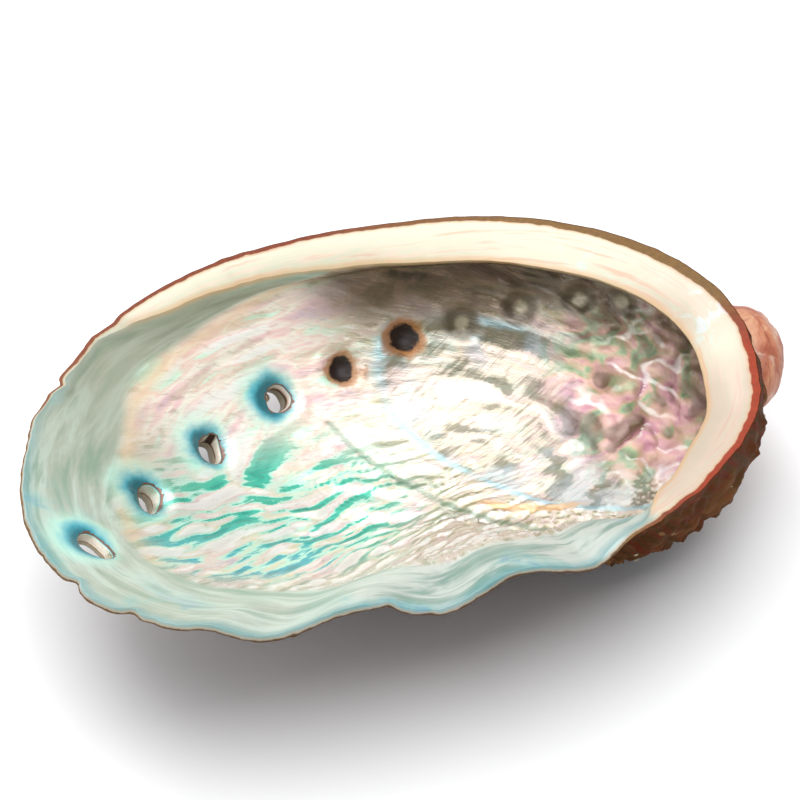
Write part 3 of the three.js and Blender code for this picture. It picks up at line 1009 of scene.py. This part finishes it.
    def lines(self, b: Bench, colour: Wire, wisps: Wire) -> Wire:
        """Thin arcs round the muscle's seat and the gold streak below it."""
        fade = b.noise(b.place(), 60.0, 2.0).step(0.38, 0.55)
        arc = (b["arc"] + wisps * 1.2).step(1.2, 0.1) * (1.0 - b["end"]) * fade
        colour = b.mix(arc * 0.7, colour, self.inner_line)
        outer = (b["outer_arc"] + wisps * 3.0).step(1.3, 0.2) * (1.0 - b["end"]) * (1.0 - b["satin"])
        colour = b.mix(outer * 0.6, colour, self.outer_line)
        return b.mix((b["gold"] + wisps * 0.7).step(0.45, 0.9) * 0.75, colour, self.gold)

    def ends(self, b: Bench, colour: Wire) -> Wire:
        """Crumpled spire end, with painted shade in its creases and a painted highlight on its crests, and
        painted shade on the wall under the shelf.
        """
        place, crinkle = b.place(), b["crinkle"]
        cell = b.noise(place, 105.0, 2.0, 0.55, 0.9)
        # painted shade in the low creases of the crumpled relief
        crease_shading = (crinkle + (b.noise(place, 300.0, 3.0) - 0.5) * 0.6).step(0.45, 0.05)
        crests = (crinkle + (b.noise(place, 260.0, 3.0) - 0.5) * 0.5).step(0.78, 0.95)
        vivid = b.mix(0.35, b.mix(crease_shading * 0.75, b.ramp(cell, self.vivid), self.crease_shade), self.rust)
        # painted highlight on the crests of the crumpled relief
        vivid = b.mix(crests * b.noise(place, 55.0, 2.0).step(0.46, 0.62) * 0.55, vivid, self.light)
        colour = b.mix(b["end"].step(0.12, 0.6) * 0.9, colour, vivid)
        # painted shade under the shelf: the wall's olive and mauve tints laid darker, darkest towards the
        # spire end
        shade = b.ramp(b.noise(b.vector(b["age"] * 7.0, b["cord"] * 11.0), 1.0, 3.0, 0.6, 0.8), self.shade)
        shade = b.mix(b["grain_a"].step(6.0, 30.0) * 0.75, shade, self.spire_shade)
        colour = b.mix(b["gloom"] * 0.85, colour, shade)
        # deeper painted shade close under the shelf, on the spire side
        dusk = b["dusk"] * b["grain_a"].step(-25.0, 25.0) * 0.85
        return b.mix(dusk, colour, b.mix(cell.step(0.4, 0.6), *self.dusk))

    def satin(self, b: Bench) -> Wire:
        """Colour of the grey-green band inside the outer lip, greener and darker on the near side, partly
        painted shade.
        """
        down, off_north = b["down"], 1.0 - b["north"]
        clouds = b.noise(b.round_vector(2.6, down * 15.0), 1.0, 4.0, 0.6, 0.5)
        colour = b.mix(b["north"] * 0.6, b.ramp(clouds, self.clouds), b.mix(clouds, *self.north))
        # near side: its own green, darkened as painted shade
        colour = b.mix(b["near_side"] * 0.75, colour, b.mix(clouds.step(0.38, 0.60), *self.near))
        blotch = b.noise(b.place(), 70.0, 4.0, 0.6, 0.4)
        tint = blotch.step(0.50, 0.64) * (1.0 - down / 0.25).clamp() * off_north
        colour = b.mix(tint * 0.8, colour, b.mix(blotch.step(0.58, 0.66), *self.tint))
        margin = (down + (blotch - 0.5) * 0.05).step(0.045, 0.0) * off_north
        return b.mix(margin * 0.55, colour, self.margin)

    def shelf(self, b: Bench) -> Wire:
        """Cream shelf with long streaks, duller at the far end, with a mint glint."""
        along = b.noise(b.round_vector(1.6, b["edge"] * 0.55), 1.2, 4.0, 0.6, 0.3)
        colour = b.mix(b["far_end"] * 0.6, b.ramp(along, self.streaks), self.far_shelf)
        glint = b.noise(b.place(), 130.0, 4.0, 0.65, 1.0).step(0.50, 0.66) * b["glint"]
        return b.mix(glint * 0.75, colour, b.mix(glint, *self.glint))

    def pores(self, b: Bench, colour: Wire) -> Wire:
        """Teal halo and brown lining of the pores; painted shade in the pits and stained rings of the closed
        ones.
        """
        gap, blind, healed, side = b["pore"], b["blind"], b["healed"], b["pore_side"]
        wobble = (b.noise(b.place(), 260.0, 3.0) - 0.5) * 2.4
        tear = (b.noise(b.place(), 150.0, 3.0, 0.6) - 0.5) * 7.0
        marks = (((gap - side * 3.5 + wobble * 1.5).step(10.5, 5.0) * 0.6, self.mint),
                 ((gap - side * 2.4 + wobble * 1.4).step(7.4, 4.0) * 0.9, self.azure),
                 ((gap - side * 1.8 + wobble).step(5.4, 3.2) * 0.8, self.halo),
                 ((gap + side * 0.5 + wobble * 0.4).step(3.6, 2.6) * 0.9, self.lining),
                 ((blind + tear * 1.3).step(6.0, 3.6) * 0.8, self.stain),
                 # painted shade deep in the pit of each closed pore
                 ((blind + tear * 0.8).step(3.5, 2.5), self.pit),
                 ((healed + wobble).step(5.4, 3.0) * 0.8, self.healed[0]),
                 ((healed + wobble * 0.6).step(2.4, 0.9) * 0.7, self.healed[1]))
        for factor, mark in marks:
            colour = b.mix(factor, colour, mark)
        return colour

    def rim(self, b: Bench, colour: Wire) -> Wire:
        """Warm inner edge of the shelf and the edge of the crust round the mouth."""
        wobble = b.noise(b.place(), 420.0, 3.0) - 0.5
        inner = (b["brink"] + wobble * 0.5).step(1.6, 0.2) * b["under"]
        colour = b.mix(inner * 0.6, colour, self.thin_edge)
        crust = b.ramp(b["tone"], self.tones)
        grit = b.noise(b.place(), 800.0, 4.0, 0.7).step(0.35, 0.65)
        crust = b.mix(grit * 0.5, crust, b.mix(0.5, crust, self.grit))
        line = b["edge"] - b["border"] + wobble * 0.9
        colour = b.mix(line.step(0.9, 0.1) * 0.5, colour, self.rim_line)
        return b.mix(line.step(0.2, -0.15), colour, crust)

    def build(self) -> bpy.types.Material:
        """The finished material."""
        b = Bench("nacre")
        satin, shelf = b["satin"], b["shelf"]
        colour = b.mix(b["seam"] * 0.6, self.ends(b, self.bright(b)), self.seam)
        colour = self.pores(b, b.mix(satin, colour, self.satin(b)))
        colour = self.rim(b, b.mix(shelf, colour, self.shelf(b)))
        normal = b.bump(self.wisps(b) * (1.0 - satin) * (1.0 - shelf), 0.0005, 0.4)
        normal = b.bump(b.noise(b.place(), 900.0, 2.0), 0.00004, 0.4, under=normal)
        crust = (b["edge"] - b["border"]).step(0.5, -0.1)
        pit = b["blind"].step(4.0, 2.0)
        sheen = (1.0 - satin * 0.7) * (1.0 - shelf * 0.9) * (1.0 - b["warm"] * 0.7) * 0.36
        return b.surface({
            "Base Color": colour, "Normal": normal, "Metallic": sheen * (1.0 - crust) * (1.0 - pit),
            "Roughness": 0.24 + satin * 0.10 + shelf * 0.10 + crust * 0.4 + pit * 0.3,
            "Coat Weight": 0.35 * (1.0 - crust) * (1.0 - pit), "Coat Roughness": 0.15,
            "Specular IOR Level": 0.5})


@dataclass(frozen=True)
class CrustFinish:
    """Rough brown and olive outside, banded along its growth, dotted with pale crusts and with painted shade
    in its hollows.
    """

    bands: Ramp = ((0.30, "462e1e"), (0.42, "7a3c2a"), (0.50, "625434"),
                   (0.60, "4e4e2e"), (0.70, "865238"))
    film: Colour = "5c603a"
    bare: Colour = "b09c8a"
    # painted shade for the crust's hollows
    hollow: Colour = "261c14"
    knob: Colour = "968a60"
    spot: Colour = "cebeb0"
    ground: Colour = "42200a"
    warmth: Colour = "ffc88a"

    def build(self) -> bpy.types.Material:
        """The finished material."""
        b = Bench("outer_crust")
        age, cord, place = b["age"], b["cord"], b.place()
        bands = b.noise(b.vector(age * 14.0, cord * 1.6), 1.0, 3.0, 0.6, 0.3)
        film = b.noise(place, 38.0, 4.0, 0.6, 0.8).step(0.48, 0.64)
        colour = b.mix(film * 0.7, b.ramp(bands, self.bands), self.film)
        colour = b.mix(b.noise(place, 24.0, 4.0, 0.65, 1.0).step(0.56, 0.66) * 0.6, colour, self.bare)
        # painted shade where the crust's relief is low
        colour = b.mix((b["relief"] * 0.35 + 0.35).step(0.0, 0.42), b.mix(0.6, colour, self.hollow), colour)
        colour = b.mix(b["knob"].step(0.35, 0.9) * 0.45, colour, self.knob)
        spots = b.cells(place, 300.0).step(0.30, 0.18) * b.noise(place, 45.0, 2.0).step(0.52, 0.60)
        colour = b.mix(0.5, b.mix(spots * 0.7, colour, self.spot), self.ground)
        colour = b.mix(1.0, colour, self.warmth, "MULTIPLY")
        rough = b.noise(place, 700.0, 4.0, 0.7)
        lines = b.noise(b.vector(age * 220.0, cord * 16.0), 1.0, 2.0)
        normal = b.bump(lines, 0.0004, 0.5, under=b.bump(rough + spots * 0.6, 0.0006, 0.7))
        return b.surface({"Base Color": colour, "Normal": normal, "Roughness": 0.62 + 0.3 * rough,
                          "Specular IOR Level": 0.15})


@dataclass(frozen=True)
class SlipperFinish:
    """Pinkish-brown cap with red-brown rays, pale clouds, growth lines and a purple beak."""

    rays: Ramp = ((0.28, "743220"), (0.42, "a4583c"), (0.52, "bc7656"),
                  (0.62, "d09c7a"), (0.74, "984a32"))
    cloud: Colour = "e8d2be"
    line: Colour = "823c30"
    beak: Colour = "60284e"

    def build(self) -> bpy.types.Material:
        """The finished material."""
        b = Bench("slipper_shell")
        share, turn, place = b["share"], b["turn"], b.place()
        ray = b.noise(b.vector(turn * 3.0, share * 2.4), 1.2, 5.0, 0.62, 0.9)
        cloud = b.noise(place, 160.0, 3.0, 0.6, 0.5)
        growth = b.noise(b.vector(share * 30.0, turn), 1.0, 3.0)
        colour = b.mix(cloud.step(0.55, 0.72) * 0.5, b.ramp(ray, self.rays), self.cloud)
        colour = b.mix(growth.step(0.55, 0.70) * 0.5, colour, self.line)
        colour = b.mix(b["beak"] * b.noise(place, 420.0, 2.0).step(0.45, 0.62) * 0.8, colour, self.beak)
        normal = b.bump(b.noise(place, 900.0, 3.0), 0.0001, 0.4, under=b.bump(growth, 0.0003, 0.7))
        return b.surface({"Base Color": colour, "Normal": normal, "Roughness": 0.42 + cloud * 0.2,
                          "Coat Weight": 0.15, "Coat Roughness": 0.3})


@dataclass(frozen=True)
class ChalkFinish:
    """Chalky buff, greyer in random patches."""

    chalk: Ramp = ((0.3, "807054"), (0.5, "bcac8c"), (0.7, "d6ccb4"))

    def build(self) -> bpy.types.Material:
        """The finished material."""
        b = Bench("chalky_growth")
        cloud = b.noise(b.place(), 500.0, 4.0, 0.65)
        normal = b.bump(b.noise(b.place(), 2500.0, 3.0), 0.0001, 0.6)
        return b.surface({"Base Color": b.ramp(cloud, self.chalk), "Normal": normal,
                          "Roughness": 0.6 + cloud * 0.2})


# ---------------------------------------------------------------- pieces
@dataclass
class AbaloneShell:
    """The grown shell: outside, rim, shelf and nacre bowl as one closed surface, pores cut through."""

    place: Place
    relief: Relief = Relief()
    columns: int = 420
    outer_rows: int = 84
    band_rows: int = 12
    inner_rows: int = 130
    spacing: float = 1.3
    # the rods that cut the pores: sides, stretch, and heights with widths as shares of the hole
    rod_sides: int = 28
    rod_stretch: float = 1.25
    rod_levels: tuple[tuple[float, float], ...] = ((-9.0, 2.0), (-3.0, 1.30), (0.0, 1.08), (9.0, 1.05))
    lining_reach: float = 0.012

    def stretches(self) -> list[tuple[Skin, int]]:
        """Each stretch from the underside over the rim to the bowl's floor, with its material's number."""
        round_ = (np.arange(self.columns) / self.columns)[:, None]
        outer = ((np.arange(self.outer_rows)[::-1] / self.outer_rows) ** self.spacing)[None, :]
        across = (0.5 - 0.5 * np.cos(np.pi * np.arange(1, self.band_rows) / self.band_rows))[None, :]
        inner = ((np.arange(self.inner_rows) / self.inner_rows) ** self.spacing)[None, :]
        return [(self.relief.outside(round_, outer), 1), (self.relief.band(round_, across), 0),
                (self.relief.inside(round_, inner), 0)]

    def build(self) -> bpy.types.Object:
        """The finished piece."""
        stretches = self.stretches()
        skins = [skin for skin, _ in stretches]
        start, floor = np.zeros((1, 1)), np.ones((1, 1))
        first, last = self.relief.outside(start, floor), self.relief.inside(start, floor)
        points = in_rings(first.points, [skin.points for skin in skins], last.points)
        values = {name: in_rings(first.value(name), [skin.value(name) for skin in skins], last.value(name))
                  for name in sorted(set().union(*(skin.values for skin in skins)))}
        rows = sum(skin.points.shape[1] for skin in skins)
        shell = put_mesh("abalone_shell_skin", self.place.put(points), closed_faces(rows, self.columns))
        put_values(shell.data, {**values, "whole": np.ones(len(points))})
        self.paint_sides(shell, stretches)
        self.cut_pores(shell)
        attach(shell, "root")
        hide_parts("abalone_shell")
        return shell

    def paint_sides(self, shell: bpy.types.Object, stretches: list[tuple[Skin, int]]) -> None:
        """Gives each face the nacre or the crust, by the stretch it belongs to."""
        for finish in (NacreFinish(), CrustFinish()):
            shell.data.materials.append(finish.build())
        per_row = np.concatenate([np.full(skin.points.shape[1], number) for skin, number in stretches])
        per_band = np.concatenate([per_row[:1], per_row[:-1], per_row[-1:]])
        numbers = np.repeat(per_band, self.columns).astype(np.int32)
        shell.data.polygons.foreach_set("material_index", numbers)

    def rod(self, pore: Pore) -> Array:
        """Rings of a tapered oval rod through a pore: wide on the nacre side, narrow outside."""
        wall = self.relief.wall
        u, t = np.array(pore.round), np.array(pore.down)
        seat, out = wall.surface(u, t), wall.normal(u, t)
        along = wall.surface(u + 0.01, t) - wall.surface(u - 0.01, t)
        along /= np.linalg.norm(along)
        angle = np.arange(self.rod_sides) / self.rod_sides * 2 * np.pi
        wobble = 1 + 0.10 * np.sin(2 * angle + pore.down * 20) + 0.05 * np.sin(3 * angle + pore.round * 30)
        ring = ((np.cos(angle) * self.rod_stretch)[:, None] * along
                + np.sin(angle)[:, None] * np.cross(out, along))
        return np.stack([seat + out * height + ring * (wobble * pore.hole * size)[:, None]
                         for height, size in self.rod_levels])

    def cut_pores(self, shell: bpy.types.Object) -> None:
        """Cuts the rods out, then fills in the numbers of the new points from their neighbours."""
        points, faces = joined([self.rod(pore) for pore in OPEN_PORES])
        rods = put_mesh("pore_rods", self.place.put(points), faces)
        cut = shell.modifiers.new("pores", "BOOLEAN")
        cut.operation, cut.object, cut.solver = "DIFFERENCE", rods, "EXACT"
        cut.material_mode = "INDEX"
        graph = bpy.context.evaluated_depsgraph_get()
        graph.update()
        mesh = bpy.data.meshes.new_from_object(shell.evaluated_get(graph))
        shell.modifiers.clear()
        old, shell.data = shell.data, mesh
        bpy.data.meshes.remove(old)
        bpy.data.objects.remove(rods)
        self.fill_lining(mesh)

    def fill_lining(self, mesh: bpy.types.Mesh) -> None:
        """Gives the cut's new points the lining's numbers, and else those of the nearest old point."""
        is_old = read_values(mesh, "whole") >= 0.999
        new, kept = np.flatnonzero(~is_old), np.flatnonzero(is_old)
        at = points_of(mesh)
        log.info("pores cut: %d new points of %d", len(new), len(at))
        seats = self.place.put(self.relief.seats()[:len(OPEN_PORES)])
        gap = np.min(np.linalg.norm(at[kept][:, None] - seats[None], axis=-1), axis=1)
        close = kept[gap < self.lining_reach]
        nearest = close[np.argmin(np.linalg.norm(at[new][:, None] - at[close][None], axis=-1), axis=1)]
        for layer in [a.name for a in mesh.attributes if a.domain == "POINT" and a.data_type == "FLOAT"]:
            value = read_values(mesh, layer)
            value[new] = LINING.get(layer, value[nearest])
            mesh.attributes[layer].data.foreach_set("value", value)
        mesh.attributes.remove(mesh.attributes["whole"])


@dataclass
class SlipperShell:
    """The small cap grown on the spire end, standing on the host's wall."""

    place: Place
    relief: Relief = Relief()
    height: float = 10.5
    skin: float = 1.2
    seat_gap: float = -0.2
    columns: int = 96
    rows: int = 44
    inner_rows: int = 16
    inner_reach: float = 0.88

    def lift(self, angle: Array, share: Array) -> Array:
        """Height of the outside over the wall: a dome with growth steps, three ribs and roughness."""
        dome = np.sqrt(np.clip(1 - share**2, 0, 1))
        steps = ridged(columns_of(share * 9.0, 0.3 * np.cos(angle)), 41, 2)
        about = columns_of(np.cos(angle) * 3, np.sin(angle) * 3, share * 2)
        ribs = np.cos(angle * 3 + 1.0) * 0.35 + noise(about, 42, 2) * 0.5
        return self.seat_gap + self.height * dome + ease(share / 0.2) * dome * (0.5 * (steps - 0.5) + ribs)

    def over_wall(self, angle: Array, share: Array, lift: Array | float) -> Array:
        """Points over the wall, whose own coordinates are spread as an oval with a leaning beak.

        Args:
            angle: turn round the cap.
            share: 0 at the top, 1 at the edge.
            lift: height over the wall in mm.

        Returns:
            Points in mm.
        """
        a, b, along, across = self.relief.slipper
        beak = 0.35 * (1 - share)
        round_ = a + along * (share * np.cos(angle) + beak)
        down = b + across * (share * np.sin(angle) - beak * 0.5)
        wall = self.relief.wall
        return wall.surface(round_, down) + wall.normal(round_, down) * np.asarray(lift)[..., None]

    def build(self) -> bpy.types.Object:
        """The finished piece."""
        turn = (np.arange(self.columns) / self.columns)[:, None]
        angle = -turn * 2 * np.pi
        inner_share = np.cos(np.linspace(0.97, 0.0, self.inner_rows) * np.pi / 2)[None, :]
        outer_share = np.cos(np.linspace(0.0, 0.985, self.rows) * np.pi / 2)[None, :]
        a, b = self.relief.slipper[:2]
        up = self.relief.wall.normal(np.array([[a]]), np.array([[b]]))
        hollow = (self.height - self.skin) * np.sqrt(1 - inner_share**2)
        inner = self.over_wall(angle, inner_share * self.inner_reach, self.seat_gap) + up * hollow[..., None]
        outer = self.over_wall(angle, outer_share, self.lift(angle, outer_share))
        points = in_rings(inner[:, 0].mean(0), [inner, outer], outer[:, -1].mean(0))
        rows = self.inner_rows + self.rows
        shell = put_mesh("slipper_shell_cap", self.place.put(points), closed_faces(rows, self.columns))
        shares = np.repeat(np.concatenate([inner_share[0], outer_share[0]]), self.columns)
        turns = np.abs(np.tile(turn[:, 0], rows) - 0.5) * 2
        put_values(shell.data, {"share": np.pad(shares, 1), "turn": np.pad(turns, 1, constant_values=0.5),
                                "beak": np.pad(ease((0.5 - shares) / 0.4), 1, constant_values=1.0)})
        shell.data.materials.append(SlipperFinish().build())
        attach(shell, "root")
        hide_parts("slipper_shell")
        return shell


@dataclass
class Growths:
    """Chalky worm tubes and dots that settled on the outside, joined in one mesh."""

    place: Place
    relief: Relief = Relief()
    tubes: int = 16
    dots: int = 90
    sides: int = 10
    steps: int = 30
    seed: int = 7
    # the ring that shows by the spire end: share round, share down, size and turns
    ring: tuple[float, float, float, float] = (0.955, 0.10, 1.3, 1.2)

    def seat(self, round_: float, down: float) -> tuple[Array, Array, Array, Array]:
        """Point on the crust with its outward, along and across directions."""
        u, t = np.array([[round_]]), np.array([[down]])
        point = self.relief.outside(u, t).points[0, 0]
        out = self.relief.wall.normal(u, t)[0, 0]
        along = np.cross(out, [0.0, 0.0, 1.0])
        along /= np.linalg.norm(along)
        return point, out, along, np.cross(out, along)

    def tube(self, seat: tuple[Array, Array, Array, Array], size: float, turns: float) -> Array:
        """Rings of a tube whose path is a flat spiral: radius grows evenly with the turned angle."""
        point, out, along, across = seat
        way = np.linspace(0.0, 1.0, self.steps)
        angle = way * turns * 2 * np.pi
        radius = size * (0.35 + 0.65 * way)
        flat = np.cos(angle)[:, None] * along + np.sin(angle)[:, None] * across
        thick = size * (0.20 + 0.14 * way)
        path = point + flat * radius[:, None] + out * (thick * 0.6)[:, None]
        ring = np.arange(self.sides) / self.sides * 2 * np.pi
        side = np.cos(ring)[None, :, None] * flat[:, None] + np.sin(ring)[None, :, None] * out
        return path[:, None] + side * thick[:, None, None]

    def dot(self, seat: tuple[Array, Array, Array, Array], size: float) -> Array:
        """Rings of a low dome: widths and heights of its rings are shares of the size."""
        point, out, along, across = seat
        share = np.array([0.55, 1.0, 0.96, 0.80, 0.50])
        high = np.array([-0.5, -0.4, 0.28, 0.60, 0.86]) * size * 0.7
        ring = np.arange(self.sides) / self.sides * 2 * np.pi
        flat = np.cos(ring)[:, None] * along + np.sin(ring)[:, None] * across
        return point + flat[None] * (share * size)[:, None, None] + out * high[:, None, None]

    def build(self) -> bpy.types.Object:
        """The finished piece."""
        rng = np.random.default_rng(self.seed)
        stacks = [self.tube(self.seat(*self.ring[:2]), *self.ring[2:])]
        for _ in range(self.tubes):
            seat = self.seat(rng.uniform(0.0, 1.0), rng.uniform(0.2, 0.55))
            stacks.append(self.tube(seat, rng.uniform(0.8, 1.6), rng.uniform(0.8, 1.5)))
        for _ in range(self.dots):
            seat = self.seat(rng.uniform(0.0, 1.0), rng.uniform(0.12, 0.6))
            stacks.append(self.dot(seat, rng.uniform(0.25, 0.7)))
        points, faces = joined(stacks)
        made = put_mesh("chalky_growths", self.place.put(points), faces)
        made.data.materials.append(ChalkFinish().build())
        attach(made, "root")
        return made


# ---------------------------------------------------------------- studio
@dataclass(frozen=True)
class Studio:
    """Pale floor, soft lights and the camera."""

    place: Place
    aim: tuple[float, float, float] = (10.79, 18.96, 20.0)
    azimuth: float = -24.0
    elevation: float = 45.0
    distance: float = 614.76
    lens: float = 125.0
    # name, place and size in metres, power in watts
    lights: tuple[tuple[str, tuple[float, float, float], float, float], ...] = (
        ("overhead", (0.0, -0.02, 1.2), 1.3, 17.5), ("behind", (-0.1, 0.8, 0.85), 0.6, 4.0),
        ("left_side", (-0.9, -0.2, 0.6), 0.6, 2.0))
    sky: tuple[float, float, float, float] = (0.9, 0.95, 1.0, 1.0)
    sky_strength: float = 0.38

    def floor(self) -> None:
        """A plain pale sheet under the part."""
        side = np.array([-3.0, 3.0])
        x, y = np.meshgrid(side, side, indexing="ij")
        sheet = put_mesh("floor", np.stack([x.ravel(), y.ravel(), np.zeros(4)], -1), [[0, 2, 3, 1]])
        b = Bench("floor")
        sheet.data.materials.append(b.surface({"Base Color": (0.92, 0.92, 0.92, 1.0), "Roughness": 0.7}))

    def light(self, name: str, at: tuple[float, float, float], size: float, power: float) -> None:
        """Square soft light looking at the part."""
        data = bpy.data.lights.new(name, "AREA")
        data.energy, data.size = power, size
        lamp = bpy.data.objects.new(name, data)
        lamp.location = at
        lamp.rotation_euler = (-Vector(at)).to_track_quat("-Z", "Y").to_euler()
        bpy.context.scene.collection.objects.link(lamp)

    def camera(self) -> None:
        """Camera at the given angle and distance from the aim point."""
        a, e = math.radians(self.azimuth), math.radians(self.elevation)
        back = Vector((math.sin(a) * math.cos(e), -math.cos(a) * math.cos(e), math.sin(e)))
        data = bpy.data.cameras.new("camera")
        data.lens, data.sensor_width, data.clip_start, data.clip_end = self.lens, 36.0, 0.01, 20.0
        camera = bpy.data.objects.new("camera", data)
        camera.location = Vector(self.place.put(np.array(self.aim))) + back * self.distance * MM
        camera.rotation_euler = (-back).to_track_quat("-Z", "Y").to_euler()
        bpy.context.scene.collection.objects.link(camera)
        bpy.context.scene.camera = camera

    def build(self) -> None:
        """Sets the whole studio."""
        self.floor()
        self.camera()
        for light in self.lights:
            self.light(*light)
        world = bpy.data.worlds.new("studio")
        world.use_nodes = True
        background = world.node_tree.nodes["Background"]
        background.inputs["Color"].default_value = self.sky
        background.inputs["Strength"].default_value = self.sky_strength
        bpy.context.scene.world = world
        bpy.context.scene.view_settings.view_transform = "Standard"


def main() -> None:
    """Builds the studio and the pieces and reports each."""
    logging.basicConfig(level=logging.INFO, format="%(message)s")
    place = Place.onto("abalone_shell", WALL)
    Studio(place).build()
    for part in (AbaloneShell(place), SlipperShell(place), Growths(place)):
        made = part.build()
        log.info("%s: %d faces", made.name, len(made.data.polygons))


if __name__ == "__main__":
    main()
